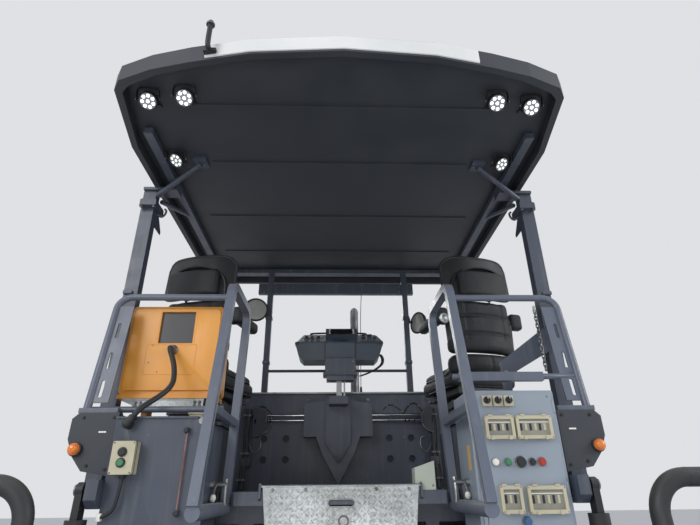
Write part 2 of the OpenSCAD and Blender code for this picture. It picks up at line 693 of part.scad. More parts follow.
// Black guards at the platform's rear corners with an orange lamp on the outer side.
module side_guards() {
    both_sides() {
        color(black) cross_plate(-2300, 44) polygon([
            [deck_half_w + 2.5, 1790], [guard_x - 88, 1812], [guard_x - 30, 1880], [guard_x, 1950],
            [guard_x, 2040], [guard_x - 30, 2068], [deck_half_w + 2.5, 2068]]);
        color(black) span([deck_half_w + 2, -2270, 1790], [deck_half_w + 10, -2120, 2060]);
        color("#d4722a") translate([guard_x - 46, -2300, 1905]) rotate([90, 0, 0]) cylinder(h = 24, r = 26);
    }
}

module seat_stands() {
    color(black) both_sides() {
        // Box, ribbed bellows of the suspension and turning plate
        translate([seat_x - 210, seat_y - 200, deck_z + lie]) cube([420, 400, seat_z - deck_z - 360 - lie]);
        for (k = [0:4]) translate([0, 0, seat_z - 361 + k * 34]) linear_extrude(k == 4 ? 35 : 22)
            soft_rect([seat_x - 185, seat_y - 175], [seat_x + 185, seat_y + 175], 50);
        translate([0, 0, seat_z - 361]) linear_extrude(170)
            soft_rect([seat_x - 165, seat_y - 155], [seat_x + 165, seat_y + 155], 40);
    }
    // Slide and turning plate
    color(black) both_sides() {
        span([seat_x - 175, seat_y - 140, seat_z - 192], [seat_x + 175, seat_y + 140, seat_z - 172]);
        translate([seat_x, seat_y, seat_z - 173]) cylinder(h = 23 - lie, r = 110);
    }
}
seat_x = 925;
seat_y = -1330;
seat_z = 2430;
seat_turn = 15;

// Rails and canopy

entry_z0 = 1650;
lamp_x = 990;
// Columns: place along X, place along Y of each work lamp under the roof.
lamps = [[lamp_x, -2817], [800, -2843], [lamp_x, -2331]];
lamp_r = 48;
beam_z = [3345, 3440];

// Square-tube frames beside the passage, each a closed loop with one middle rung.
module entry_frames() {
    color("#5b606b") both_sides() difference() {
        union() {
            in_side_plane(entry_x) bent_tube([[entry_y[0], entry_z0 + 20], [entry_y[1], rail_top],
                [entry_y[2], rail_top + 12], [entry_y[3], entry_z0 + 20]], 70, entry_tube, entry_tube);
            in_side_plane(entry_x) bent_tube([[entry_y[0] + 112, 2050], [entry_y[3] + 62, 2046]],
                10, entry_tube - 8, entry_tube - 8);
            in_side_plane(entry_x) bent_tube([[entry_y[0] - 6, entry_z0], [entry_y[3] + 6, entry_z0]],
                10, 58);
            // Lugs that hold the frame to the cabinet beside it
            for (y = [deck_y0 + 30, box_y - 70])
                span([entry_x + 4, y, entry_z0 - 18], [right_box[0].x - lie, y + 40, entry_z0 + 18]);
        }
    }
}

// Handrails outside the cabinets: a top bar bent down at its outer end, and a mid rail.
module handrails() {
    color("#5b606b") both_sides() {
        lean = -9.5;
        translate([0, hand_y, hand_z]) rotate([lean, 0, 0]) {
            in_cross_plane(0) bent_tube([[entry_x + entry_tube / 2 + lie, 0],
                [rail_half_w - rail_d / 2, 0], [rail_half_w - rail_d / 2, hand_foot - hand_z]], 75, rail_d);
            // Slotted plates along the upright
            difference() {
                span([rail_half_w - 112, -4, hand_foot - hand_z + 30], [rail_half_w - rail_d / 2, 4, -60]);
                for (z = [-210, -380, -530]) translate([rail_half_w - 62, 0, z]) rotate([90, 0, 0]) linear_extrude(20, center = true)
                    soft_rect([-9, -45], [9, 45], 8.9);
            }
            difference() {
                span([rail_half_w - 8, 10, hand_foot - hand_z + 30], [rail_half_w, 60, -90]);
                for (k = [0:6]) span([rail_half_w - 9, 28, -580 + k * 68], [rail_half_w + 1, 46, -545 + k * 68]);
            }
        }
        span([deck_half_w + 20, -2285, 2068 + lie], [rail_half_w, -2225, 2092]);
    }
}
hand_y = -2140;
hand_z = rail_top + 25;
hand_foot = 2084;

// Middle rails, lower on the left where they pass below the storage case.
module mid_rails() {
    // Columns: side, height, place along Y
    for (m = [[-1, 2090, -2237], [1, 2250, -2212]]) color("#5b606b") on_side(m[0])
        axle(entry_x + entry_tube / 2 + lie, rail_half_w - rail_d / 2, rail_d / 2 - 4, m[2], m[1]);
    // Box beam on the right one
    color("#5b606b") span([612, -2230, 2226], [1052, -2194, 2271]);
}

// Rear and front posts, the beams under the roof, braces and the front cross beam.
module canopy_frame() {
    color(slate) {
        both_sides() {
            // Rear post with its foot on the platform's side
            span([post_x - post_w / 2, post_y - 32, 1760], [post_x + post_w / 2 - 10, post_y + 32, roof_z - lie]);
            span([deck_half_w + arm_w + lie, post_y - 60, deck_z - deck_t], [post_x + post_w / 2 - 10, post_y + 60, 1760]);
            span([post_x - 70, post_y - 75, roof_z - 150], [post_x + 30, post_y + 75, roof_z - 110]);
            bar([post_x - 60, post_y - 40, roof_z - 60], [870, -2235, ceiling_z - 18], 34);
            span([830, -2285, ceiling_z - 16], [910, -2185, ceiling_z - lie]);
            bar([post_x - 60, post_y + 40, roof_z - 60], [1086, -1590, roof_z + 46], 30);
            // Front post
            span([front_post_x - front_post_w / 2, front_post_y - front_post_w / 2, hood_z + cowl_t + lie],
                [front_post_x + front_post_w / 2, front_post_y + front_post_w / 2, roof_z + 59]);
            span([front_post_x - 24, wall_y + 35 + lie, wall_top - 45],
                [front_post_x + 24, front_post_y - 23, wall_top - 15]);
            // Longitudinal beams under the roof
            span([1060, roof_y0 + 600, roof_z + 22], [1110, roof_y1 - 90, ceiling_z - 8 - lie]);
        }
        span([-1070, -640, roof_z + 22], [1070, -560, ceiling_z - 8 - lie]);
        // Post heads reach the outer beams
        both_sides() span([1060, post_y - 50, roof_z - 20], [post_x + post_w / 2 - 10, post_y + 50, roof_z - lie]);
        both_sides() span([1060, post_y - 50, roof_z - 1], [1110, post_y + 50, roof_z + 40]);
        // Hanging front beam and the thin rail between the front posts
        span([-720, front_post_y - 20, beam_z[0]], [690, front_post_y + 24, beam_z[1]]);
        axle(-front_post_x, front_post_x, 12, front_post_y, 2645);
    }
}

ceiling_z = roof_z + 67;
function roof_outline(g) = [
    [-roof_half_w + g, roof_y1 - g - 60], [-roof_half_w + 110, roof_y1 - g], [roof_half_w - 110, roof_y1 - g],
    [roof_half_w - g, roof_y1 - g - 60], [roof_half_w - g, roof_y0 + 700],
    [1130 - g, roof_y0 + 263 + g / 2], [1084 - g, roof_y0 + 200 + g], [911 - g / 2, roof_y0 + 130 + g],
    [718, roof_y0 + 82 + g], [427, roof_y0 + 27 + g], [0, roof_y0 + g], [-427, roof_y0 + 27 + g],
    [-718, roof_y0 + 82 + g], [-911 + g / 2, roof_y0 + 130 + g], [-1084 + g, roof_y0 + 200 + g],
    [-1130 + g, roof_y0 + 263 + g / 2], [-roof_half_w + g, roof_y0 + 700]];

// Moulded roof: a skirt round a ribbed ceiling, crowned on top.
module roof_shell() {
    color(slate) difference() {
        union() {
            translate([0, 0, roof_z]) linear_extrude(roof_h) polygon(roof_outline(0));
            hull() {
                translate([0, 0, roof_z + roof_h]) linear_extrude(1) polygon(roof_outline(0));
                translate([0, 0, roof_z + roof_h + roof_crown - 1]) linear_extrude(1)
                    polygon(roof_outline(230));
            }
        }
        translate([0, 0, roof_z - 1]) linear_extrude(ceiling_z - roof_z + 1) polygon(roof_outline(34));
    }
    color(slate) {
        // Columns: half width and place along Y of each shallow rib of the ceiling
        for (r = [[830, -2735], [800, -2240], [960, -1590], [960, -1010]])
            span([-r[0], r[1], ceiling_z - 7], [r[0], r[1] + 34, ceiling_z + lap]);
        // Raised panels on top
        for (x = [-760, -250, 260]) translate([0, 0, roof_z + roof_h + roof_crown - 1]) linear_extrude(11)
            soft_rect([x, roof_y0 + 620], [x + 490, roof_y1 - 330], 45);
    }
}

module roof_lamps() {
    both_sides() for (l = lamps) translate([l[0], l[1], roof_z - 4]) rotate([-35, 0, 0]) {
        color(black) difference() {
            cylinder(h = 40, r = lamp_r);
            translate([0, 0, -1]) cylinder(h = 6, r = lamp_r - 6);
        }
        color("#f4f6f8") translate([0, 0, 2]) cylinder(h = 4, r = lamp_r - 6);
    }
    both_sides() for (l = lamps) color(black)
        translate([l[0] - 8, l[1] - 44, roof_z + 40]) cube([16, 34, ceiling_z - lie - roof_z - 40]);
}

module mirrors() {
    color(black) {
        // Columns: side, place along X, height, turn and radius of each round mirror on the front posts
        for (m = [[-1, 722, 3170, 12, 106], [1, 704, 3050, 58, 96]]) {
            x = m[0] * m[1];
            post = m[0] * (front_post_x + front_post_w / 2 + lie);
            translate([x, mirror_y, m[2]]) rotate([-90, 0, -m[0] * m[3]]) rotate_extrude() polygon([
                [0, 0], [m[4] - 4, 0], [m[4], 6], [m[4] - 8, 26], [m[4] * 0.6, 42], [0, 48]]);
            bar([post + m[0] * 6, front_post_y, m[2] + 40], [x, mirror_y + 34, m[2]], 12);
            translate([m[0] > 0 ? post : post - 12, front_post_y - 20, m[2] + 20]) cube([12, 40, 40]);
        }
    }
}
mirror_y = front_post_y - 76;

// Seats and console

back_z = [seat_z - 30, seat_z + 500];
shield_z = [seat_z + 485, seat_z + 800];
// Seat, turned inwards on its plate as it was left, for the right side: pan, cushion, a back
// with side bolsters, the shell behind the headrest, and armrests.
module seat_shape() {
    translate([seat_x, seat_y, 0]) rotate([0, 0, seat_turn]) color(black) {
        translate([-200, -180, seat_z - 150]) cube([400, 380, 50]);
        translate([0, 0, seat_z - 101]) linear_extrude(100) soft_rect([-245, -190], [245, 290], 60);
        translate([0, 0, seat_z - 2]) linear_extrude(50) soft_rect([-225, -170], [225, 280], 70);
        // Back, a curved section cut to a rounded outline
        intersection() {
            translate([0, 0, back_z[0]]) linear_extrude(back_z[1] - back_z[0]) polygon([
                [-258, -135], [-250, -225], [-190, -278], [-90, -300], [90, -300], [190, -278],
                [250, -225], [258, -135], [215, -120], [165, -180], [-165, -180], [-215, -120]]);
            cross_plate(-320, 240) soft_rect([-260, back_z[0] - 1], [260, back_z[1]], 70);
        }
        for (x = [-75, 55]) translate([x, -262, back_z[1] - 60]) cube([20, 20, 200]);
        // Shell and headrest
        cross_plate(-300, 34) soft_rect([-262, shield_z[0]], [262, shield_z[1]], 70);
        cross_plate(-267, 72) soft_rect([-190, shield_z[0] + 50], [190, shield_z[1] - 50], 60);
        for (s = [-1, 1]) {
            translate([s * 282 - 28, -190, seat_z + 315]) cube([56, 320, 60]);
            translate([s * 268 - 24, -232, seat_z + 90]) cube([48, 75, 270]);
        }
    }
}

column_y = -1000;
bracket_y = [slide_rail_y - slide_rail_d / 2 - 95, slide_rail_y - slide_rail_d / 2 - lie];
head_z = [2640, 2773, 2905];
head_y = [column_y - 30, column_y + 250];
// Half of the neck, from its middle at neck_x
neck_x = 14;
neck_half = 116;
// Bracket on the slide rails, its tapered foot, the post and the flanged neck of the console.
module console_carriage() {
    color(slate) {
        cross_plate(bracket_y[0], bracket_y[1] - bracket_y[0]) polygon([
            [-260, 2326], [-260, 2087], [-165, 2087], [-110, 1950], [0, 1758],
            [110, 1950], [165, 2087], [260, 2087], [260, 2326], [110, 2350], [-110, 2350]]);
        cross_plate(bracket_y[0] - 26, 27) polygon([
            [-95, 2360], [-95, 2040], [0, 1900], [95, 2040], [95, 2360]]);
        span([-70, column_y - 60, 2300], [70, bracket_y[0] - 20, 2358]);
    }
    color(zinc) {
        span([-14, column_y - 20, 2357], [26, column_y + 20, 2476]);
        span([40, column_y - 8, 2357], [52, column_y + 8, 2476]);
    }
    color(slate) {
        span([neck_x - neck_half + 12, column_y - 52, 2475], [neck_x + neck_half - 12, column_y + 50, 2513]);
        span([neck_x - neck_half - 14, column_y - 68, 2512], [neck_x + neck_half + 14, column_y + 66, 2523]);
        cross_plate(column_y - 58, 112) translate([neck_x - neck_half, 2522])
            square([2 * neck_half, head_z[0] - 2522]);
    }
}

// Outline of the head from the side, pushed out rearwards by g.
function head_side(g) = [[head_y[0] + 34 - g, head_z[0]], [head_y[0] - g, head_z[1] - 14], [head_y[0] - g, head_z[1]],
    [head_y[0] + 8 - g, head_z[1] + 8], [head_y[1] - 40, head_z[2]], [head_y[1], head_z[2] - 12],
    [head_y[1], head_z[1]], [head_y[1] - 60, head_z[0]]];
// Console head: a bowl below a sloping panel, with a middle facet, a display and knobs.
module console_head() {
    slope = atan((head_z[2] - head_z[1] - 8) / (head_y[1] - head_y[0] - 48));
    color("#3a4350") {
        intersection() {
            side_plate(-345, 700) polygon(head_side(0));
            cross_plate(head_y[0] - 5, 400) polygon([
                [-275, head_z[0]], [-308, 2672], [-333, head_z[1] - 20], [-338, head_z[1]], [-322, head_z[1] + 10],
                [-290, 2890], [-270, 2920], [300, 2920], [322, 2890], [352, head_z[1] + 10],
                [352, head_z[1]], [347, head_z[1] - 20], [322, 2672], [290, head_z[0]]]);
        }
        side_plate(neck_x - neck_half, 2 * neck_half) polygon(head_side(14));
        translate([-100, head_y[0] + 30, head_z[1] + 18]) rotate([slope + 14, 0, 0]) cube([252, 120, 52]);
    }
    // Columns: place along X, distance up the slope, radius and height of each knob
    for (k = [[205, 60, 11, 20], [248, 70, 16, 34], [292, 60, 12, 24], [205, 150, 11, 20], [262, 150, 11, 20],
              [-160, 80, 11, 18], [-210, 80, 11, 18], [-255, 80, 11, 18]]) color(black)
        translate([k[0], head_y[0] + 8, head_z[1] + 8]) rotate([slope, 0, 0]) translate([0, k[1], -2])
            cylinder(h = k[3], r = k[2]);
}

// Checker-plate flap that closes the passage, hinged at its top edge.
module passage_flap() {
    color(zinc) difference() {
        cross_plate(sill_y - 14, 6) polygon([
            [3 - flap_half_w, flap_z], [-350, 1490], [350, 1490], [flap_half_w - 3, flap_z]]);
        cross_plate(sill_y - 20, 20) translate([0, 1668]) soft_rect([-62, -14], [62, 14], 13.9);
        translate([11, sill_y - 10, 1591]) rotate([90, 0, 0]) cylinder(h = 40, r = 18, center = true);
    }
    color(zinc) axle(-flap_half_w - 9, flap_half_w + 9, 7, sill_y - 8, flap_z);
    color(black) translate([11, sill_y - 8, 1591]) rotate([90, 0, 0]) cylinder(h = 14, r = 18);
}

// Hopper and push rollers

floor_z = tunnel_floor;

// Wing of the hopper as it stands folded, for the right side: floor, side wall, end gussets.
module wing_shape() {
    color(slate) translate([wing_x, 0, wing_z]) rotate([0, -wing_fold, 0]) {
        difference() {
            union() {
                translate([0, wing_y0, 0]) rotate([-90, 0, 0]) cylinder(h = wing_y1 - wing_y0, r = 24);
                span([10, wing_y0, -wing_t / 2], [wing_floor, wing_y1, wing_t / 2]);
            }
            translate([0, wing_y0 - 1, 0]) rotate([-90, 0, 0]) cylinder(h = wing_y1 - wing_y0 + 2, r = 14.06);
            for (y = hinge_ys) translate([0, y - hinge_w / 2 - run, 0]) rotate([-90, 0, 0])
                cylinder(h = hinge_w + 2 * run, r = 34);
        }
        translate([wing_floor - wing_t / 2, 0, 0]) rotate([0, -80, 0]) {
            span([-wing_t / 2, wing_y0, -wing_t / 2], [wing_wall, wing_y1, wing_t / 2]);
            span([wing_wall - 40, wing_y0, -wing_t / 2 - 30], [wing_wall, wing_y1, wing_t / 2]);
            for (k = [0:5]) span([40, wing_y0 + 100 + k * 310, -wing_t / 2 - 22],
                [wing_wall - 20, wing_y0 + 112 + k * 310, 0]);
        }
        // Gussets at both ends join floor and wall
        for (y = [wing_y0, wing_y1 - 14]) translate([0, y + 14, 0]) rotate([90, 0, 0])
            linear_extrude(14) polygon([[200, 0], [wing_floor, 0], [wing_floor + 50, 260], [wing_floor - 130, 120]]);
        // Stiffeners under the floor
        for (k = [0:3]) span([60, wing_y0 + 130 + k * 490, -62], [wing_floor - 20, wing_y0 + 142 + k * 490, 0]);
    }
}

// Front flap of the hopper, hinged on the front beam.
module hopper_apron() {
    color(slate) {
        axle(-430, 430, apron_r, apron_y, apron_z);
        translate([0, apron_y, apron_z]) rotate([-20, 0, 0]) {
            span([-490, -8, 0], [490, 8, 300]);
            for (x = [-380, -6, 368]) span([x, 7, 20], [x + 12, 34, 290]);
        }
    }
}
apron_r = 20;
apron_y = frame_y1 - 20;
apron_z = push_z + 105 + apron_r + lie;

push_bar_x = 900;
// Beam that carries the push rollers and rocks on the pivot of the front beam.
module push_beam() {
    color(slate) difference() {
        union() {
            span([-push_bar_x, push_pivot_y + 20, push_z - 60], [push_bar_x, push_pivot_y + 75, push_z + 60]);
            translate([0, push_pivot_y, push_z - 58]) cylinder(h = 116, r = 75);
            for (x = [-push_bar_x, -push_len - 90, -30, push_len + 60 - 30, push_bar_x - 30])
                if (abs(x) < 40 || abs(x) > 840)
                    span([x, push_pivot_y + 74, push_z - 45], [x + (abs(x) < 40 ? 60 : 30), push_y + 20, push_z + 45]);
        }
        translate([0, push_pivot_y, push_z - 100]) cylinder(h = 200, r = 35.06);
        axle(-push_bar_x - 1, push_bar_x + 1, 18.05, push_y, push_z);
    }
}

module push_rollers() {
    color(steel) {
        axle(-push_bar_x, push_bar_x, 18, push_y, push_z);
        for (s = [-1, 1]) difference() {
            axle(s > 0 ? 40 : -860, s > 0 ? 860 : -40, push_r, push_y, push_z);
        }
    }
}

// Slat conveyor in the tunnel, with the cover over its chains.
module conveyor() {
    color(steel) {
        span([-frame_in + lie, frame_y0 - 60, floor_z - 12], [frame_in - lie, frame_y1 - 90, floor_z]);
        span([-50, frame_y0 + 60, floor_z], [50, frame_y1 - 160, floor_z + 60]);
        for (y = [frame_y0:220:frame_y1 - 200])
            for (s = [-1, 1]) span([s > 0 ? 50 : -440, y, floor_z], [s > 0 ? 440 : -50, y + 36, floor_z + 26]);
        for (s = [-1, 1], x = [95, 400]) span([s > 0 ? x : -x - 30, frame_y0, floor_z],
            [s > 0 ? x + 30 : -x, frame_y1 - 180, floor_z + 20]);
    }
}

// Augers and screed

auger_pitch = 300;
auger_shaft = 45;
auger_x0 = 90;

// Gearbox between the augers, hung from a beam on the rear of the frame.
module auger_carrier() {
    color(slate) {
        span([-auger_x0 + lie, auger_y - 60, auger_z - 100], [auger_x0 - lie, auger_y + 60, auger_z + 100]);
        span([-60, auger_y - 40, auger_z + 99], [60, auger_y + 40, carrier_z + 40]);
        span([-60, auger_y - 40, carrier_z], [60, frame_y0 - 50, carrier_z + 40]);
        span([-frame_half_w, frame_y0 - 60, carrier_z], [frame_half_w, frame_y0 - lie, carrier_z + 40]);
    }
}
carrier_z = 760;

// Screw flight wound on a shaft, for the right side.
module auger_shape() {
    color(steel) translate([auger_x0, auger_y, auger_z]) rotate([0, 90, 0]) {
        cylinder(h = auger_len, r = auger_shaft);
        translate([0, 0, 25]) linear_extrude(auger_len - 40, twist = 360 * (auger_len - 40) / auger_pitch,
            slices = 44, segments = 1) polygon([for (a = [-9, 0, 9]) auger_r * [cos(a), sin(a)],
            [auger_shaft - 5, 6], [auger_shaft - 5, -6]]);
    }
}

arm_half = 110;
screed_y0 = screed_y1 - screed_depth;
ext_gap = 40;
ext_y1 = screed_y0 - ext_gap;
ext_y0 = ext_y1 - ext_depth;
plate_h = 24;
end_t = 20;
end_x = screed_w / 2 + 4;
rail_z = 1745;
rail_y = -3300;
guide_r = 40;
guide_z = 352;
guide_ys = [screed_y0 + 110, screed_y0 + 270];

// Tow arms from the tow points past the wheels to the screed.
module tow_arms() {
    color(slate) both_sides() {
        difference() {
            side_plate(tow_x - tow_t / 2, tow_t) union() {
                translate([tow_y, tow_z]) circle(r = arm_half);
                polygon([[tow_y, tow_z - arm_half], [tow_y, tow_z + arm_half], [-1900, tow_z + 150],
                    [screed_y1 + 60, tow_z + 120], [screed_y0 + 40, tow_z + 60], [screed_y0 + 20, 260],
                    [screed_y1 - 60, 260], [-2000, tow_z - 60]]);
            }
            axle(tow_x - 100, tow_x + 100, 32.06, tow_y, tow_z);
            for (y = guide_ys) axle(tow_x - 100, tow_x + 100, guide_r + run, y, guide_z);
        }
        // Ear for the lift cylinder
        difference() {
            union() {
                side_plate(tow_x - 30, 60) translate([lift_y, lift_z0]) circle(r = 32);
                span([tow_x - 30, lift_y - 32, tow_z + 80], [tow_x + 30, lift_y + 32, lift_z0]);
            }
            span([tow_x - 16, lift_y - 60, tow_z + 130], [tow_x + 16, lift_y + 60, lift_z0 + 60]);
        }
        axle(tow_x - 30, tow_x + 30, 14, lift_y, lift_z0);
    }
}

lift_y = -2352;
lift_z0 = 780;
lift_z1 = 1735;
module lift_barrels() {
    color(black) both_sides() {
        difference() {
            translate([tow_x, lift_y, lift_z1]) rotate([0, 90, 0]) cylinder(h = 30, r = 32, center = true);
            axle(tow_x - 60, tow_x + 60, 15.05, lift_y, lift_z1);
        }
        difference() {
            union() {
                translate([tow_x, lift_y, lift_z0 + 400]) cylinder(h = lift_z1 - lift_z0 - 515, r = 44);
                span([tow_x - 15, lift_y - 28, lift_z1 - 120], [tow_x + 15, lift_y + 28, lift_z1 - 10]);
            }
            translate([tow_x, lift_y, lift_z0 + 399]) cylinder(h = lift_z1 - lift_z0 - 530, r = 26.05);
            axle(tow_x - 60, tow_x + 60, 15.05, lift_y, lift_z1);
        }
    }
}
module lift_rods() {
    color(zinc) both_sides() {
        difference() {
            axle(tow_x - 14, tow_x + 14, 38, lift_y, lift_z0);
            axle(tow_x - 60, tow_x + 60, 27, lift_y, lift_z0);
        }
        translate([tow_x, lift_y, lift_z0 + 34]) cylinder(h = 445, r = 26);
    }
}

// Main screed: sole plates, beam and the guide housings of the extensions.
module screed_frame() {
    color(slate) difference() {
        union() {
            span([-screed_w / 2, screed_y0, 0], [screed_w / 2, screed_y1, plate_h]);
            for (x = [-1000:250:1000]) span([x - 6, screed_y0 + 20, plate_h - 1], [x + 6, screed_y1 - 30, 300]);
            span([-screed_w / 2, screed_y1 - 12, plate_h - 1], [screed_w / 2, screed_y1, 500]);
            span([-screed_w / 2 + 10, screed_y1 - 70, 420], [screed_w / 2 - 10, screed_y1 - 10, 460]);
            span([-screed_w / 2, screed_y0, 250], [screed_w / 2, screed_y1, 262]);
            for (s = [-1, 1]) side_plate(s > 0 ? screed_w / 2 - 14 : -screed_w / 2, 14) polygon([
                [screed_y0, plate_h - 1], [screed_y1, plate_h - 1], [screed_y1, walk_z - 60],
                [screed_y0 + 40, walk_z - 60], [screed_y0, 300]]);
            span([-screed_w / 2 + 10, screed_y0 + 60, 420], [screed_w / 2 - 10, screed_y1 - 60, walk_z - 40]);
            // Inner bearings of the extensions' guide tubes
            for (s = [-1, 1]) span([s > 0 ? 850 : -900, screed_y0 + 30, 261], [s > 0 ? 900 : -850, screed_y1 - 30, 421]);
        }
        for (y = guide_ys) axle(-screed_w, screed_w, guide_r + 0.06, y, guide_z);
        for (s = [-1, 1]) span([s > 0 ? tow_x - tow_t / 2 - lie : -tow_x - tow_t / 2 - lie, screed_y0 - 1, 259],
            [s > 0 ? tow_x + tow_t / 2 + lie : -tow_x + tow_t / 2 + lie, screed_y1 + 1, walk_z]);
    }
}

module screed_walkway() {
    color(zinc) {
        span([-screed_w / 2 + 40, screed_y0 + 30, walk_z - 39.7], [screed_w / 2 - 40, screed_y1 - 60, walk_z]);
    }
}

// Extension of the screed with its walkway, end plate and guard rail, for the right side.
module extension_shape() {
    x0 = 8;
    color(slate) {
        span([x0, ext_y0, 0], [end_x, ext_y1, plate_h]);
        span([x0, ext_y1 - 12, plate_h - 1], [end_x, ext_y1, 330]);
        span([x0, ext_y0, plate_h - 1], [end_x, ext_y0 + 12, 330]);
        span([x0, ext_y0, 320], [end_x, ext_y1, 332]);
        for (x = [x0, 400, 800]) span([x, ext_y0 + 10, plate_h - 1], [x + 12, ext_y1 - 10, walk_z - 30]);
        side_plate(end_x, end_t) difference() {
            polygon([
            [ext_y0 - 40, 60], [ext_y0 + 20, 4], [auger_y - 120, 4], [auger_y - 40, 90],
            [auger_y - 40, 360], [auger_y - 130, 440], [ext_y0 - 40, 440]]);
            // Bolt holes for a further side plate
            for (y = [-100, 100], z = [-60, 60]) translate([screed_y1 - 130 + y, 340 + z]) circle(end_bolt_r);
        }
        // Guide tubes that slide in the main screed
        for (y = guide_ys) axle(120, end_x + lap, guide_r, y, guide_z);
        span([end_x - 16, ext_y0 + 10, 330], [end_x, ext_y1 - 10, walk_z - 30]);
        // Height spindles with their nuts
        for (x = [220, 620, 1040]) translate([x, ext_y0 + 110, 331]) {
            cylinder(h = walk_z - 361, r = 22);
            cylinder(h = 60, r = 42);
            translate([0, 0, 180]) cylinder(h = 50, r = 34);
        }
    }
    // Control box on the guard rail's outer leg
    color("#3a3e46") {
        side_plate(1010, 204) polygon([[rail_y + 10, 1330], [rail_y + 10, 1590], [rail_y + 60, 1590],
            [rail_y + 170, 1500], [rail_y + 170, 1330]]);
        span([1205, rail_y + 5, 1380], [1236, rail_y + 40, 1420]);
        span([1205, rail_y + 5, 1500], [1236, rail_y + 40, 1540]);
    }
    color(zinc) span([x0, rail_y - 10, walk_z - 31], [end_x, ext_y1, walk_z]);
    color(black) in_cross_plane(rail_y)
        bent_tube([[822, walk_z - 20], [822, rail_z], [1235, rail_z], [1235, walk_z - 20]], 95, 50);
}

// Cable from the storage case to the elbow socket, along points chosen by hand.
cable_d = 27;
cable_route = [[-921, -2108.4, 2429], [-921, -2120, 2429], [-920, -2134, 2426], [-909, -2150, 2404],
    [-890, -2165, 2366], [-870, -2182, 2320], [-855, -2203, 2268], [-848, -2230, 2222], [-857, -2257, 2184],
    [-877, -2284, 2152], [-903, -2312, 2121], [-929, -2344, 2090], [-947.3, -2364, 2061.9], [-961.7, -2364, 2041.3]];
module case_cable() { color(black) swept_tube(cable_route, cable_d / 2, 10); }

// Smooth tube through the points p: rings of n sides, square to the path at each point.
module swept_tube(p, r, n) {
    last = len(p) - 1;
    function way(i) = unit(p[min(i + 1, last)] - p[max(i - 1, 0)]);
    function across(i) = unit(cross(way(i), [1, 0, 0]));
    polyhedron([for (i = [0:last], k = [0:n - 1]) let (d = way(i), u = across(i), v = cross(d, u))
            p[i] + r * (u * cos(360 * k / n) + v * sin(360 * k / n))],
        concat([[for (k = [0:n - 1]) k]], [[for (k = [0:n - 1]) last * n + n - 1 - k]],
            [for (i = [0:last - 1], k = [0:n - 1]) [i * n + k, (i + 1) * n + k,
                (i + 1) * n + (k + 1) % n, i * n + (k + 1) % n]]));
}

main_frame();
engine_block();
engine_cowl();
exhaust_stack();
union() { platform(); steps(); }
rear_axle();
bogie_beams();
conveyor();
auger_carrier();
entry_frames();
union() { handrails(); mid_rails(); }
canopy_frame();
roof_shell();
roof_lamps();
storage_case();
case_cable();
left_cabinet();
button_box();
switch_cabinet();
cabinet_controls();
side_guards();
seat_stands();
mirrors();
hood_lid();
on_side(-1) seat_shape();  // seat_left
seat_shape();  // seat_right
console_carriage();
console_head();
passage_flap();
on_side(-1) wing_shape();  // hopper_wing_left
wing_shape();  // hopper_wing_right
hopper_apron();
push_beam();
push_rollers();
on_side(-1) rear_tyre_shape();  // rear_tyre_left
rear_tyre_shape();  // rear_tyre_right
on_side(-1) rear_rim_shape();  // rear_rim_left
rear_rim_shape();  // rear_rim_right
// Columns: name of the wheel's place, side, number of its axle.
for (w = [["front_left", -1, 0], ["front_right", 1, 0], ["rear_left", -1, 1], ["rear_right", 1, 1]]) {
    color(slate) on_side(w[1]) knuckle_shape(bogie_ys[w[2]]);
    on_side(w[1]) front_wheel_shape(bogie_ys[w[2]]);
}
on_side(-1) steering_link();  // steering_link_left
steering_link();  // steering_link_right
on_side(-1) auger_shape();  // auger_left
auger_shape();  // auger_right
tow_arms();
screed_frame();
screed_walkway();
on_side(-1) extension_shape();  // extension_left
extension_shape();  // extension_right
lift_barrels();
lift_rods();
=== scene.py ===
"""Finishes and fine pieces of a wheeled asphalt paver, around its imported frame.

Lengths are in metres in the frame of the CAD: +X is the machine's right, +Y its
direction of travel and +Z up. Solids whose form is right stay and get a finish;
what the eye meets next, such as upholstery, lamps and bolts, is built here.
"""

from __future__ import annotations

import json
import logging
import math
from collections.abc import Sequence
from dataclasses import dataclass
from enum import Enum

import bmesh
import bpy
import numpy as np
from mathutils import Matrix

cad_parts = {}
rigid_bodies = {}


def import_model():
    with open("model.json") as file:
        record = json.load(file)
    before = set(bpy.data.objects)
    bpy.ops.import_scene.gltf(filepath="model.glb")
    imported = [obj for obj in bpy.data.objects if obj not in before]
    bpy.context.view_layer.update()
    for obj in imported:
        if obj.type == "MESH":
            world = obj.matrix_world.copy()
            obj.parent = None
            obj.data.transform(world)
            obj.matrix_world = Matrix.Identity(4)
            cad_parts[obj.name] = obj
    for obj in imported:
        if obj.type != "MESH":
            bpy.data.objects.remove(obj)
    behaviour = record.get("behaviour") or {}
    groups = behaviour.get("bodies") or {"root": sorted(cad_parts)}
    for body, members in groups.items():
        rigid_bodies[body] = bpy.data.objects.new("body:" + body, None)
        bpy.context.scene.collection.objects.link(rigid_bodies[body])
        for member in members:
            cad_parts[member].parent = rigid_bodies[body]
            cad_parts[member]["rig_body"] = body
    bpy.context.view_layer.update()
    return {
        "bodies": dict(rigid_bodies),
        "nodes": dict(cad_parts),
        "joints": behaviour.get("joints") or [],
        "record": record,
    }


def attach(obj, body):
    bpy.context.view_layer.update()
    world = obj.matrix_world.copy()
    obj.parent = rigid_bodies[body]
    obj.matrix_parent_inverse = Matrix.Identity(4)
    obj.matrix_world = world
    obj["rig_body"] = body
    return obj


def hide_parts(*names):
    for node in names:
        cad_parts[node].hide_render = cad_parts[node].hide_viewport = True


LOG = logging.getLogger("paver")
MM = 0.001
# Points closer than this are one
WELD = 0.02 * MM
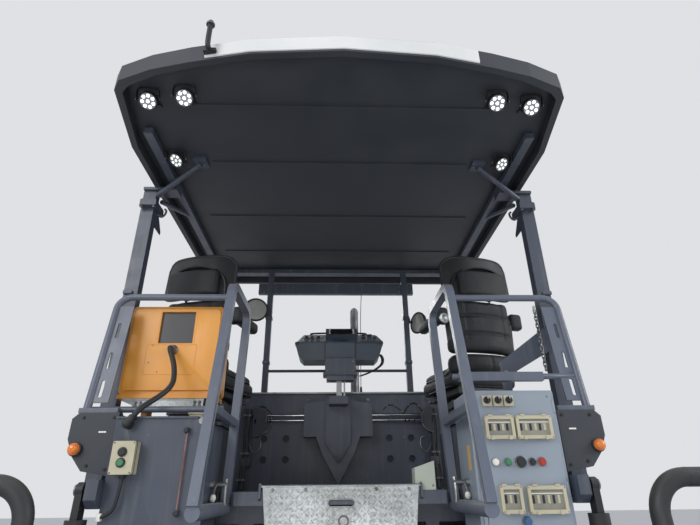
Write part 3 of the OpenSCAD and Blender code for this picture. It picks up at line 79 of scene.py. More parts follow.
# Directions of the shared frame
RIGHT, AHEAD, UP = (1, 0, 0), (0, 1, 0), (0, 0, 1)
REAR, DOWN = (0, -1, 0), (0, 0, -1)
Mesh = tuple[np.ndarray, list[list[int]]]
Point = Sequence[float]


class Side(Enum):
    """A side of the machine, with the sign of its X."""

    LEFT = -1
    RIGHT = 1

    @property
    def word(self) -> str:
        """The side's name as it stands in node and body names."""
        return self.name.lower()


# Finishes


def linear(code: str) -> tuple[float, float, float, float]:
    """Turn an sRGB hex colour into linear light.

    Args:
        code: Six hex digits after a hash.

    Returns:
        Red, green, blue and an alpha of one.
    """
    parts = [int(code[i : i + 2], 16) / 255 for i in (1, 3, 5)]
    return (*(c / 12.92 if c <= 0.04045 else ((c + 0.055) / 1.055) ** 2.4 for c in parts), 1.0)


class Shading:
    """A material under construction, with Object coordinates at hand."""

    def __init__(self, name: str) -> None:
        """Start a material that has its shader and nothing else."""
        self.material = bpy.data.materials.new(name)
        self.material.use_nodes = True
        self.tree = self.material.node_tree
        self.shader = self.tree.nodes["Principled BSDF"]
        self.place = self.add("ShaderNodeTexCoord").outputs["Object"]
        self.facing = self.add("ShaderNodeNewGeometry").outputs["Normal"]

    def add(self, kind: str, inputs: dict | None = None, **settings: object) -> bpy.types.Node:
        """Add a node.

        Args:
            kind: The node's type.
            inputs: Values or sockets for its inputs, by name or number.
            **settings: Values for its own properties.

        Returns:
            The new node.
        """
        node = self.tree.nodes.new(kind)
        for key, value in settings.items():
            setattr(node, key, value)
        for key, value in (inputs or {}).items():
            if isinstance(value, bpy.types.NodeSocket):
                self.tree.links.new(value, node.inputs[key])
            else:
                node.inputs[key].default_value = value
        return node

    def noise(self, size_mm: float, detail: float = 3, stretch: Point = (1, 1, 1)) -> bpy.types.NodeSocket:
        """Noise whose blotches are about size_mm across, drawn out by stretch."""
        spot = self.add("ShaderNodeMapping", {"Vector": self.place, "Scale": [1 / s for s in stretch]})
        return self.add("ShaderNodeTexNoise", {"Vector": spot.outputs[0], "Scale": 1 / (size_mm * MM),
                                               "Detail": detail}).outputs["Fac"]

    def between(self, value: bpy.types.NodeSocket, low: float, high: float, a: float = 0,
            b: float = 1) -> bpy.types.NodeSocket:
        """Map value from the span low to high onto a to b, with both ends held."""
        return self.add("ShaderNodeMapRange", {"Value": value, "From Min": low, "From Max": high,
                                               "To Min": a, "To Max": b}).outputs[0]

    def mixed(self, share: bpy.types.NodeSocket | float, a: object, b: object) -> bpy.types.NodeSocket:
        """Colour a turning into colour b by a share from 0 to 1."""
        return self.add("ShaderNodeMix", {0: share, 6: a, 7: b}, data_type="RGBA").outputs[2]

    def math(self, operation: str, a: object, b: object) -> bpy.types.NodeSocket:
        """A sum, product or power of two values."""
        return self.add("ShaderNodeMath", {0: a, 1: b}, operation=operation).outputs[0]

    def relief(self, height: bpy.types.NodeSocket, depth_mm: float,
            onto: bpy.types.NodeSocket | None = None) -> bpy.types.NodeSocket:
        """Raise the surface by a height from 0 to 1 that stands for depth_mm."""
        inputs = {"Height": height, "Distance": depth_mm * MM, "Strength": 1.0}
        if onto is not None:
            inputs["Normal"] = onto
        return self.add("ShaderNodeBump", inputs).outputs[0]

    def upward(self) -> bpy.types.NodeSocket:
        """One on a face that looks up, nought on a wall or an underside."""
        z = self.add("ShaderNodeSeparateXYZ", {0: self.facing}).outputs["Z"]
        return self.between(z, 0.35, 0.95)

    def finish(self, colour: object, roughness: object, normal: bpy.types.NodeSocket | None = None,
            **fixed: float) -> bpy.types.Material:
        """Connect what makes the surface.

        Args:
            colour: Colour or socket for the base.
            roughness: Number or socket.
            normal: Socket of the relief.
            **fixed: Other sockets of the shader by name, blanks as underscores.

        Returns:
            The finished material.
        """
        wires = {"Base Color": colour, "Roughness": roughness}
        if normal is not None:
            wires["Normal"] = normal
        for key, value in {**wires, **{k.replace("_", " "): v for k, v in fixed.items()}}.items():
            if isinstance(value, bpy.types.NodeSocket):
                self.tree.links.new(value, self.shader.inputs[key])
            else:
                self.shader.inputs[key].default_value = value
        return self.material


@dataclass(frozen=True)
class Paint:
    """Sprayed machine enamel over steel, cured to a low orange peel.

    The peel breaks up reflections; road dust settles on what looks up and runs
    down walls in faint tears; rubbed spots show the primer.

    Attributes:
        name: The finish's name.
        colour: The paint.
        dust: The road dust on it.
        worn: What shows in rubbed spots.
        gloss: Roughness of the clean paint.
        dusty: Share of dust on faces that look up.
        rubbed: Share of the noise that counts as rubbed, from 0 to 1.
    """

    name: str
    colour: str
    dust: str = "#8d8a83"
    worn: str = "#6d7078"
    gloss: float = 0.42
    dusty: float = 0.5
    rubbed: float = 0.12

    def make(self) -> bpy.types.Material:
        """Build the material."""
        s = Shading(self.name)
        peel = s.noise(3.5, 2)
        drift = s.noise(620, 5)
        tears = s.noise(34, 4, (1, 1, 16))
        grime = s.noise(90, 6)
        tone = s.mixed(s.between(drift, 0.35, 0.7), linear(self.colour), s.add("ShaderNodeHueSaturation",
            {"Value": 0.84, "Saturation": 0.95, "Color": linear(self.colour)}).outputs[0])
        lying = s.math("MULTIPLY", s.upward(), s.between(grime, 0.3, 0.62, 0.35, 1))
        film = s.math("MULTIPLY", s.between(tears, 0.52, 0.72), 0.3)
        dust = s.math("MAXIMUM", s.math("MULTIPLY", lying, self.dusty), s.math("MULTIPLY", film, self.dusty))
        bare = s.math("MULTIPLY", s.between(s.noise(21, 7), 0.69, 0.73), min(1.0, self.rubbed * 4))
        colour = s.mixed(dust, s.mixed(bare, tone, linear(self.worn)), linear(self.dust))
        rough = s.math("ADD", s.between(grime, 0.3, 0.7, self.gloss - 0.06, self.gloss + 0.1),
            s.math("MULTIPLY", dust, 0.35))
        return s.finish(colour, rough, s.relief(peel, 0.05), Coat_Weight=0.12, Coat_Roughness=0.25)


@dataclass(frozen=True)
class Moulding:
    """Injection-moulded plastic with a spark-eroded grain.

    Attributes:
        name: The finish's name.
        colour: The plastic.
        grain_mm: Width of a grain of the texture.
        gloss: Roughness.
        dusty: Share of dust on faces that look up.
    """

    name: str
    colour: str
    grain_mm: float = 2.2
    gloss: float = 0.5
    dusty: float = 0.3

    def make(self) -> bpy.types.Material:
        """Build the material."""
        s = Shading(self.name)
        cells = s.add("ShaderNodeTexVoronoi",
            {"Vector": s.place, "Scale": 1 / (self.grain_mm * MM)}).outputs["Distance"]
        cloud = s.noise(260, 5)
        chalk = s.mixed(s.between(cloud, 0.35, 0.75), linear(self.colour), s.add("ShaderNodeHueSaturation",
            {"Value": 1.25, "Saturation": 0.8, "Color": linear(self.colour)}).outputs[0])
        dust = s.math("MULTIPLY", s.upward(), s.between(s.noise(70, 6), 0.35, 0.7, 0.2 * self.dusty,
            self.dusty))
        rough = s.between(cloud, 0.3, 0.7, self.gloss - 0.05, self.gloss + 0.1)
        return s.finish(s.mixed(dust, chalk, linear("#8c8981")), rough, s.relief(cells, 0.12))


@dataclass(frozen=True)
class Rubber:
    """Vulcanised rubber: matt, with mould lines worn grey by grit.

    Attributes:
        name: The finish's name.
        colour: The rubber.
        dust: The dust in its pores.
        rub: Share of dust.
    """

    name: str
    colour: str = "#1b1b1c"
    dust: str = "#77736b"
    rub: float = 0.35

    def make(self) -> bpy.types.Material:
        """Build the material."""
        s = Shading(self.name)
        pores = s.noise(4, 6)
        patches = s.noise(140, 6)
        share = s.math("MULTIPLY", s.between(patches, 0.42, 0.7), self.rub)
        return s.finish(s.mixed(share, linear(self.colour), linear(self.dust)),
                        s.between(pores, 0.3, 0.7, 0.68, 0.88), s.relief(pores, 0.25))


@dataclass(frozen=True)
class Vinyl:
    """Calendered vinyl upholstery with an embossed leather grain.

    Attributes:
        name: The finish's name.
        colour: The vinyl.
        grain_mm: Width of one cell of the grain, coarser than the real 1 mm so that it shows.
    """

    name: str
    colour: str = "#101115"
    grain_mm: float = 3.0

    def make(self) -> bpy.types.Material:
        """Build the material."""
        s = Shading(self.name)
        bent = s.add("ShaderNodeVectorMath", {0: s.place, 1: s.add("ShaderNodeTexNoise", {
            "Vector": s.place, "Scale": 60.0}).outputs["Color"]}, operation="ADD").outputs[0]
        cells = s.add("ShaderNodeTexVoronoi", {"Vector": bent, "Scale": 1 / (self.grain_mm * MM)},
                      feature="DISTANCE_TO_EDGE").outputs["Distance"]
        folds = s.noise(55, 4, (1.6, 1, 0.7))
        worn = s.between(s.noise(180, 5), 0.45, 0.75)
        colour = s.mixed(worn, linear(self.colour), linear("#23252b"))
        normal = s.relief(s.between(cells, 0, 0.12), 0.12, s.relief(folds, 2.5))
        return s.finish(colour, s.between(worn, 0, 1, 0.58, 0.76), normal)


@dataclass(frozen=True)
class BareMetal:
    """Metal without paint: galvanised, rolled, turned or ground bright by use.

    Attributes:
        name: The finish's name.
        colour: The clean metal.
        stain: What dulls it, such as zinc bloom, rust or bitumen.
        grain_mm: Size of a crystal or of a scratch's width.
        gloss: Roughness.
        stained: Share of the stain.
        drawn: How far scratches are drawn out along each axis.
        metallic: Share of metal in the shader; zinc bloom and scale lower it.
    """

    name: str
    colour: str
    stain: str = "#6f6c66"
    grain_mm: float = 9.0
    gloss: float = 0.38
    stained: float = 0.3
    drawn: tuple[float, float, float] = (1, 1, 1)
    metallic: float = 0.85

    def make(self) -> bpy.types.Material:
        """Build the material."""
        s = Shading(self.name)
        spot = s.add("ShaderNodeMapping", {"Vector": s.place, "Scale": [1 / d for d in self.drawn]})
        crystals = s.add("ShaderNodeTexVoronoi",
            {"Vector": spot.outputs[0], "Scale": 1 / (self.grain_mm * MM)}).outputs["Color"]
        tone = s.add("ShaderNodeSeparateColor", {0: crystals}).outputs[0]
        clean = s.mixed(s.between(tone, 0, 1), linear(self.colour), s.add(
            "ShaderNodeHueSaturation", {"Value": 0.8, "Color": linear(self.colour)}).outputs[0])
        blot = s.noise(130, 7)
        share = s.math("MULTIPLY", s.between(blot, 0.4, 0.66), self.stained)
        scuffs = s.noise(6, 5, self.drawn)
        rough = s.math("ADD", s.between(tone, 0, 1, self.gloss - 0.07, self.gloss + 0.07),
            s.math("MULTIPLY", share, 0.35))
        return s.finish(s.mixed(share, clean, linear(self.stain)), rough, s.relief(scuffs, 0.08),
            Metallic=self.metallic)


@dataclass(frozen=True)
class Lens:
    """Clear or coloured polycarbonate lens, moulded smooth, lit from behind or dark.

    Attributes:
        name: The finish's name.
        colour: The lens.
        glow: Strength of its own light, 0 where it is off.
        ribs_mm: Pitch of the moulded prisms.
    """

    name: str
    colour: str
    glow: float = 0.0
    ribs_mm: float = 5.0

    def make(self) -> bpy.types.Material:
        """Build the material."""
        s = Shading(self.name)
        ribs = s.add("ShaderNodeTexWave",
            {"Vector": s.place, "Scale": 1 / (self.ribs_mm * MM) / 6.28}).outputs["Fac"]
        tone = s.mixed(s.between(s.noise(30), 0.3, 0.7), linear(self.colour), s.add(
            "ShaderNodeHueSaturation", {"Value": 0.88, "Color": linear(self.colour)}).outputs[0])
        return s.finish(tone, 0.12, s.relief(ribs, 0.3), Emission_Color=linear(self.colour),
                        Emission_Strength=self.glow, Coat_Weight=0.4)


# Surfaces


def skin(points: np.ndarray, wrap_u: bool = False, wrap_v: bool = False, capped: bool = False) -> Mesh:
    """Cover a grid of points with quads.

    Args:
        points: Array of rows by columns by 3.
        wrap_u: Join the last row to the first.
        wrap_v: Join the last column to the first.
        capped: Close the first and last rows with one face each.

    Returns:
        Vertices and faces.
    """
    rows, columns = points.shape[:2]
    index = np.arange(rows * columns).reshape(rows, columns)
    if wrap_u:
        index = np.vstack([index, index[:1]])
    if wrap_v:
        index = np.hstack([index, index[:, :1]])
    quads = np.stack([index[:-1, :-1], index[1:, :-1], index[1:, 1:], index[:-1, 1:]], axis=-1)
    faces = quads.reshape(-1, 4).tolist()
    if capped:
        ring = np.arange(columns)
        faces += [ring.tolist(), (ring + (rows - 1) * columns)[::-1].tolist()]
    return points.reshape(-1, 3), faces


def joined(meshes: Sequence[Mesh]) -> Mesh:
    """Several meshes as one, with their faces renumbered."""
    starts = np.cumsum([0] + [len(v) for v, _ in meshes])
    faces = [[i + int(start) for i in face] for (_, some), start in zip(meshes, starts) for face in some]
    return np.vstack([v for v, _ in meshes]), faces


def copies(mesh: Mesh, places: np.ndarray, turns: np.ndarray | None = None) -> Mesh:
    """A mesh repeated: each copy is turned by its matrix and moved to its place.

    Args:
        mesh: What is repeated, around the origin.
        places: Array of copies by 3.
        turns: Array of copies by 3 by 3, or one matrix for all.

    Returns:
        All copies as one mesh.
    """
    vertices, faces = mesh
    places = np.atleast_2d(np.asarray(places, float))
    turned = vertices[None] if turns is None else np.einsum("...ij,nj->...ni", np.asarray(turns, float),
        vertices)
    if turned.ndim == 2:
        turned = turned[None]
    every = turned + places[:, None]
    step = len(vertices)
    return every.reshape(-1, 3), [[i + k * step for i in face] for k in range(len(places)) for face in faces]


def frame_of(axis: Point) -> np.ndarray:
    """A turn whose third column is the axis and whose others are square to it."""
    w = np.asarray(axis, float) / np.linalg.norm(axis)
    helper = np.array([0.0, 0, 1]) if abs(w[2]) < 0.9 else np.array([0.0, 1, 0])
    u = np.cross(helper, w)
    u /= np.linalg.norm(u)
    return np.stack([u, np.cross(w, u), w], axis=1)


def about_x(degrees: float) -> np.ndarray:
    """Turn about X."""
    c, s = math.cos(math.radians(degrees)), math.sin(math.radians(degrees))
    return np.array([[1, 0, 0], [0, c, -s], [0, s, c]])


def about_z(degrees: float) -> np.ndarray:
    """Turn about Z."""
    c, s = math.cos(math.radians(degrees)), math.sin(math.radians(degrees))
    return np.array([[c, -s, 0], [s, c, 0], [0, 0, 1]])


def lathe(profile: Sequence[Point], centre: Point = (0, 0, 0), axis: Point = UP, steps: int = 32) -> Mesh:
    """Carry a profile round an axis: the point at angle a is r (cos a, sin a) and h along it.

    Args:
        profile: Radius and height of each point; a radius of nought closes a pole.
        centre: Where the axis starts.
        axis: Its direction.
        steps: Number of faces round it.

    Returns:
        The surface.
    """
    line = np.asarray(profile, float)
    angle = np.linspace(0, 2 * np.pi, steps, endpoint=False)
    ring = np.stack([np.cos(angle), np.sin(angle)], axis=-1)
    flat = line[:, None, :1] * ring[None]
    points = np.concatenate([flat, np.broadcast_to(line[:, None, 1:], (*flat.shape[:2], 1))], axis=-1)
    return skin(points @ frame_of(axis).T + np.asarray(centre, float), wrap_v=True)


def swept(path: Sequence[Point], outline: Sequence[Point] | float, steps: int = 10,
        closed: bool = False) -> Mesh:
    """Carry an outline along a path, square to it, with no twist about it.

    The first across-vector is carried on by removing at each point its part along
    the path. A number as the outline is a radius.

    Args:
        path: Points of the middle line.
        outline: Closed outline across and up, or a radius.
        steps: Faces round a circular outline.
        closed: Whether the path is a loop.

    Returns:
        The tube, closed at its ends.
    """
    line = np.asarray(path, float)
    if isinstance(outline, (int, float)):
        angle = np.linspace(0, 2 * np.pi, steps, endpoint=False)
        flat = outline * np.stack([np.cos(angle), np.sin(angle)], axis=-1)
    else:
        flat = np.asarray(outline, float)
    if closed:
        way = np.roll(line, -1, 0) - np.roll(line, 1, 0)
    else:
        way = np.gradient(line, axis=0)
    way /= np.linalg.norm(way, axis=1)[:, None]
    across = [frame_of(way[0])[:, 0]]
    for w in way[1:]:
        side = across[-1] - w * (across[-1] @ w)
        across.append(side / np.linalg.norm(side))
    u = np.array(across)
    v = np.cross(way, u)
    points = line[:, None] + flat[None, :, :1] * u[:, None] + flat[None, :, 1:] * v[:, None]
    return skin(points, wrap_u=closed, wrap_v=True, capped=not closed)


def smooth(points: Sequence[Point], count: int = 24) -> np.ndarray:
    """A Catmull-Rom curve through the points, as count points spread over its spans."""
    p = np.asarray(points, float)
    p = np.vstack([2 * p[0] - p[1], p, 2 * p[-1] - p[-2]])
    t = np.linspace(0, len(p) - 3 - 1e-9, count)
    i = t.astype(int)
    f = (t - i)[:, None]
    a, b, c, d = p[i], p[i + 1], p[i + 2], p[i + 3]
    return 0.5 * (2 * b + (c - a) * f + (2 * a - 5 * b + 4 * c - d) * f**2 + (3 * b - a - 3 * c + d) * f**3)


def slab(outline: Sequence[Point], thickness: float, origin: Point = (0, 0, 0), u: Point = RIGHT,
        v: Point = UP) -> Mesh:
    """A plate: an outline in the plane of u and v, thickened along u cross v from the origin."""
    flat = np.asarray(outline, float)
    base = np.asarray(origin, float) + flat[:, :1] * np.asarray(u, float) + flat[:, 1:] * np.asarray(v, float)
    along = np.cross(u, v) * thickness
    return skin(np.stack([base, base + along]), wrap_v=True, capped=True)


def round_rect(width: float, height: float, radius: float, steps: int = 5) -> np.ndarray:
    """Outline of a rectangle about the origin whose corners are quarter circles."""
    a = np.linspace(0, np.pi / 2, steps)
    quarter = np.stack([np.cos(a), np.sin(a)], axis=-1) * radius
    corner = np.array([width / 2 - radius, height / 2 - radius])
    turns = [np.array([[c, -s], [s, c]]) for c, s in ((1, 0), (0, 1), (-1, 0), (0, -1))]
    signs = ((1, 1), (-1, 1), (-1, -1), (1, -1))
    return np.vstack([quarter @ turn.T + corner * sign for turn, sign in zip(turns, signs)])


def upright(outline: np.ndarray, y: float) -> np.ndarray:
    """An outline stood in the plane of X and Z at a place along Y."""
    return np.column_stack([outline[:, 0], np.full(len(outline), y), outline[:, 1]])


def around(centre: Point, radius: float, count: int) -> list[Point]:
    """Evenly spaced points round an axis along X."""
    x, y, z = centre
    angles = np.radians(np.arange(count) * (360 // count))
    return [(x, y + radius * math.cos(a), z + radius * math.sin(a)) for a in angles]


def pillow(low: Point, high: Point, radius: float, steps: int = 4) -> Mesh:
    """A box with round edges: in each octant, its inner corner plus the radius times a direction.

    Args:
        low: Lowest corner.
        high: Highest corner.
        radius: Radius of the edges.
        steps: Points along a rounded edge.

    Returns:
        The closed surface.
    """
    low, high = np.asarray(low, float), np.asarray(high, float)
    inner = (high - low) / 2 - radius
    quarter = np.linspace(0, np.pi / 2, steps)
    up = np.concatenate([quarter, quarter + np.pi / 2])
    round_ = np.concatenate([quarter + k * np.pi / 2 for k in range(4)])
    up_sign = np.repeat([1, -1], steps)[:, None]
    x_sign = np.repeat([1, -1, -1, 1], steps)[None]
    y_sign = np.repeat([1, 1, -1, -1], steps)[None]
    x = radius * np.sin(up)[:, None] * np.cos(round_) + inner[0] * x_sign
    y = radius * np.sin(up)[:, None] * np.sin(round_) + inner[1] * y_sign
    z = radius * np.cos(up)[:, None] + inner[2] * up_sign
    points = np.stack([x, y, np.broadcast_to(z, x.shape)], axis=-1) + (low + high) / 2
    return skin(points, wrap_v=True, capped=True)


def bolt(radius: float, height: float, washer: bool = True) -> Mesh:
    """Hexagon head on a washer, standing on the origin along Z."""
    angle = np.arange(6) * np.pi / 3
    head = np.stack([np.cos(angle), np.sin(angle)], axis=-1) * radius
    foot = 0.25 * height if washer else 0.0
    low = np.column_stack([head, np.full(6, foot)])
    high = np.column_stack([head * 0.88, np.full(6, foot + height)])
    mid = np.column_stack([head, np.full(6, foot + height * 0.8)])
    parts = [skin(np.stack([low, mid, high]), wrap_v=True, capped=True)]
    if washer:
        parts.append(lathe([(0, 0), (radius * 1.45, 0), (radius * 1.45, foot), (0, foot)], steps=14))
    return joined(parts)


class Piece:
    """One piece of the scene: meshes with their finishes, joined in one object."""

    def __init__(self, name: str, finishes: dict[str, bpy.types.Material]) -> None:
        """Start an empty piece.

        Args:
            name: The object's name.
            finishes: The finishes by name.
        """
        self.name = name
        self.finishes = finishes
        self.parts: list[tuple[Mesh, str]] = []

    def put(self, mesh: Mesh, finish: str = "black_plastic") -> Piece:
        """Add a mesh in a finish; most small parts are of black plastic."""
        self.parts.append((mesh, finish))
        return self

    def fasten(self, places: Sequence[Point], axis: Point, radius: float = 0.008,
            hexagonal: bool = True) -> Piece:
        """Add screw heads of worn steel at the places, standing out along the axis."""
        return self.put(screws(places, axis, radius, hexagonal), "worn_steel")

    def build(self, body: str, slot: str | None = None, bevel_mm: float = 0, crease: float = 35,
              levels: int = 0, stands_for: Sequence[str] = ()) -> bpy.types.Object:
        """Make the object.

        Args:
            body: The CAD body it rides on.
            slot: The record's material slot, if it has one; not used.
            bevel_mm: Width of a bevel on its edges.
            crease: Angle in degrees past which an edge stays sharp.
            levels: Levels of subdivision.
            stands_for: CAD nodes that it replaces.

        Returns:
            The object.
        """
        vertices, faces = joined([mesh for mesh, _ in self.parts])
        data = bpy.data.meshes.new(self.name)
        data.from_pydata(vertices.tolist(), [], faces)
        names = list(dict.fromkeys(finish for _, finish in self.parts))
        for name in names:
            data.materials.append(self.finishes[name])
        index = np.concatenate([np.full(len(f), names.index(n)) for (_, f), n in self.parts])
        data.polygons.foreach_set("material_index", index.astype(np.int32))
        work = bmesh.new()
        work.from_mesh(data)
        bmesh.ops.remove_doubles(work, verts=work.verts, dist=WELD)
        bmesh.ops.dissolve_degenerate(work, edges=work.edges, dist=0.01 * MM)
        bmesh.ops.recalc_face_normals(work, faces=work.faces)
        work.to_mesh(data)
        work.free()
        return place(bpy.data.objects.new(self.name, data), body, slot, bevel_mm, crease, levels, stands_for)


def place(made: bpy.types.Object, body: str, slot: str | None, bevel_mm: float, crease: float, levels: int,
          stands_for: Sequence[str]) -> bpy.types.Object:
    """Put an object in the scene, smooth it and let it ride. Arguments as in Piece.build."""
    bpy.context.scene.collection.objects.link(made)
    made.data.polygons.foreach_set("use_smooth", np.ones(len(made.data.polygons), bool))
    made.data.set_sharp_from_angle(angle=math.radians(crease))
    if bevel_mm:
        edge = made.modifiers.new("edges", "BEVEL")
        edge.width, edge.segments, edge.limit_method = bevel_mm * MM, 2, "ANGLE"
        edge.angle_limit, edge.harden_normals = math.radians(35), True
        edge.use_clamp_overlap = True
    if levels:
        fine = made.modifiers.new("fine", "SUBSURF")
        fine.levels = fine.render_levels = levels
    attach(made, body)
    if stands_for:
        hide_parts(*stands_for)
    LOG.info("%s: %d faces on %s", made.name, len(made.data.polygons), body)
    return made


def boxed(centres: np.ndarray, low: Point, high: Point) -> np.ndarray:
    """Which points lie between two corners."""
    return np.all((centres > np.asarray(low)) & (centres < np.asarray(high)), axis=1)


@dataclass
class Assembly:
    """Pieces that are made together.

    Attributes:
        frame: The loaded frame.
        finishes: The finishes by name.
    """

    frame: dict
    finishes: dict[str, bpy.types.Material]

    def coat(self, node: str, base: str, zones: Sequence[tuple[str, Point, Point]] = (),
            bevel_mm: float = 0) -> None:
        """Put a CAD node's form in several finishes: a merged copy of it stands for it.

        Args:
            node: The CAD node.
            base: Finish of all that no zone names.
            zones: Finish, lowest and highest corner; a face takes the last zone its middle is in.
            bevel_mm: Width of a bevel on its edges.
        """
        source = self.frame["nodes"][node]
        slot = source.data.materials[0].name.split(".")[0]
        data = source.data.copy()
        data.name = node + "_coat"
        work = bmesh.new()
        work.from_mesh(data)
        bmesh.ops.remove_doubles(work, verts=work.verts, dist=WELD)
        bmesh.ops.dissolve_limit(work, angle_limit=math.radians(0.3), verts=work.verts, edges=work.edges)
        work.to_mesh(data)
        work.free()
        names = list(dict.fromkeys([base, *(z[0] for z in zones)]))
        data.materials.clear()
        for name in names:
            data.materials.append(self.finishes[name])
        centres = np.empty(len(data.polygons) * 3)
        data.polygons.foreach_get("center", centres)
        centres = centres.reshape(-1, 3)
        index = np.zeros(len(centres), np.int32)
        for name, low, high in zones:
            index[boxed(centres, low, high)] = names.index(name)
        data.polygons.foreach_set("material_index", index)
        made = bpy.data.objects.new(node + "_coat", data)
        place(made, source["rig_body"], slot, bevel_mm, 30, 0, [node])


@dataclass
class Studio:
    """Pale floor and backdrop, soft light, and a camera where the photographer stood.

    Attributes:
        eye: Place of the camera, at a standing person's eye.
        right: The picture's right.
        look: The looking direction.
        lens_mm: Focal length on a 36 mm wide frame.
        pale: Colour of floor and backdrop as the camera sees them.
    """

    eye: Point = (-0.044, -4.70, 1.72)
    right: Point = (0.99937, -0.03384, -0.01066)
    look: Point = (0.03514, 0.90240, 0.42947)
    lens_mm: float = 24.69
    pale: str = "#dfe1e4"

    def camera(self) -> None:
        """Make the camera; its own Z points away from what it looks at."""
        data = bpy.data.cameras.new("viewpoint")
        data.sensor_width, data.lens = 36.0, self.lens_mm
        data.clip_start, data.clip_end = 0.05, 200
        made = bpy.data.objects.new("viewpoint", data)
        x, z = np.array(self.right), -np.array(self.look)
        turn = np.eye(4)
        turn[:3, 0], turn[:3, 1], turn[:3, 2], turn[:3, 3] = x, np.cross(z, x), z, self.eye
        made.matrix_world = Matrix(turn)
        bpy.context.scene.collection.objects.link(made)
        bpy.context.scene.camera = made

    def shown_pale(self, tree: bpy.types.NodeTree, light: bpy.types.NodeSocket,
            out: bpy.types.NodeSocket) -> None:
        """Let camera, mirror and glass rays see the pale colour in place of what light does."""
        def add(kind: str) -> bpy.types.Node:
            """Put a node in the tree."""
            return tree.nodes.new(kind)
        path, first = add("ShaderNodeLightPath"), add("ShaderNodeMath")
        second, mix = add("ShaderNodeMath"), add("ShaderNodeMixShader")
        first.operation = second.operation = "MAXIMUM"
        flat = add("ShaderNodeBackground" if tree == bpy.context.scene.world.node_tree
            else "ShaderNodeEmission")
        flat.inputs[0].default_value = linear(self.pale)
        tree.links.new(path.outputs["Is Camera Ray"], first.inputs[0])
        tree.links.new(path.outputs["Is Glossy Ray"], first.inputs[1])
        tree.links.new(first.outputs[0], second.inputs[0])
        tree.links.new(path.outputs["Is Transmission Ray"], second.inputs[1])
        tree.links.new(second.outputs[0], mix.inputs[0])
        tree.links.new(light, mix.inputs[1])
        tree.links.new(flat.outputs[0], mix.inputs[2])
        tree.links.new(mix.outputs[0], out)

    def backdrop(self, strength: float = 0.8) -> None:
        """World that lights evenly and is seen as the pale backdrop."""
        world = bpy.data.worlds.new("sky")
        bpy.context.scene.world = world
        world.use_nodes = True
        sky = world.node_tree.nodes["Background"]
        sky.inputs[0].default_value, sky.inputs[1].default_value = linear("#e6eaf0"), strength
        self.shown_pale(world.node_tree, sky.outputs[0], world.node_tree.nodes["World Output"].inputs[0])

    def floor(self) -> None:
        """A wide pale floor that takes the machine's shadow."""
        size = np.linspace(-40, 40, 9)
        grid = np.stack([*np.meshgrid(size, size), np.zeros((9, 9))], axis=-1)
        vertices, faces = skin(grid)
        data = bpy.data.meshes.new("floor")
        data.from_pydata(vertices.tolist(), [], faces)
        s = Shading("sealed_concrete")
        grey = s.mixed(s.between(s.noise(900, 6), 0.3, 0.7), linear("#cecfd0"), linear("#d3d4d5"))
        data.materials.append(s.finish(grey, 0.85))
        made = bpy.data.objects.new("floor", data)
        bpy.context.scene.collection.objects.link(made)

    def lamps(self) -> None:
        """Four soft lamps: over the left shoulder, from the right, from ahead and low at the rear."""
        # Columns: place, what it points at, width in metres, power in watts
        for spot, aim, width, power in (((-5.5, -9.0, 6.0), (0, -2, 1.8), 5.0, 330),
                                        ((7.5, -5.0, 5.0), (0, -1, 1.6), 4.0, 230),
                                        ((-3.0, 9.0, 7.5), (0, 1, 1.5), 5.0, 330),
                                        ((0.0, -6.5, 0.5), (0, -1.5, 3.2), 3.0, 60)):
            data = bpy.data.lights.new("soft", "AREA")
            data.shape, data.size, data.energy = "DISK", width, power
            made = bpy.data.objects.new("soft", data)
            turn = np.eye(4)
            turn[:3, :3] = frame_of(np.subtract(spot, aim))
            turn[:3, 3] = spot
            made.matrix_world = Matrix(turn)
            bpy.context.scene.collection.objects.link(made)

    def build(self) -> None:
        """Set the stage."""
        self.camera()
        self.backdrop()
        self.floor()
        self.lamps()
        bpy.context.scene.view_settings.view_transform = "Standard"


@dataclass
class CaseCable(Assembly):
    """Cable that hangs from the storage case's gland to the elbow on the left cabinet.

    Attributes:
        diameter: Outer diameter of its sheath in metres.
        length: Length between the two sockets in metres; not used.
    """

    diameter: float = 0.027
    length: float = 0.524

    # Middle line from the gland to the elbow
    route = ((-0.921, -2.1084, 2.429), (-0.921, -2.120, 2.429), (-0.920, -2.134, 2.426),
        (-0.909, -2.150, 2.404), (-0.890, -2.165, 2.366), (-0.870, -2.182, 2.320), (-0.855, -2.203, 2.268),
        (-0.848, -2.230, 2.222), (-0.857, -2.257, 2.184), (-0.877, -2.284, 2.152), (-0.903, -2.312, 2.121),
        (-0.929, -2.344, 2.090), (-0.9473, -2.364, 2.0619), (-0.9617, -2.364, 2.0413))

    def build(self) -> None:
        line = smooth(self.route, 90)
        sheath = Piece("case_cable_sheath", self.finishes).put(swept(line, self.diameter / 2, 18))
        made = sheath.build("chassis", "black_plastic", crease=60, stands_for=["case_cable"])


# Upholstery


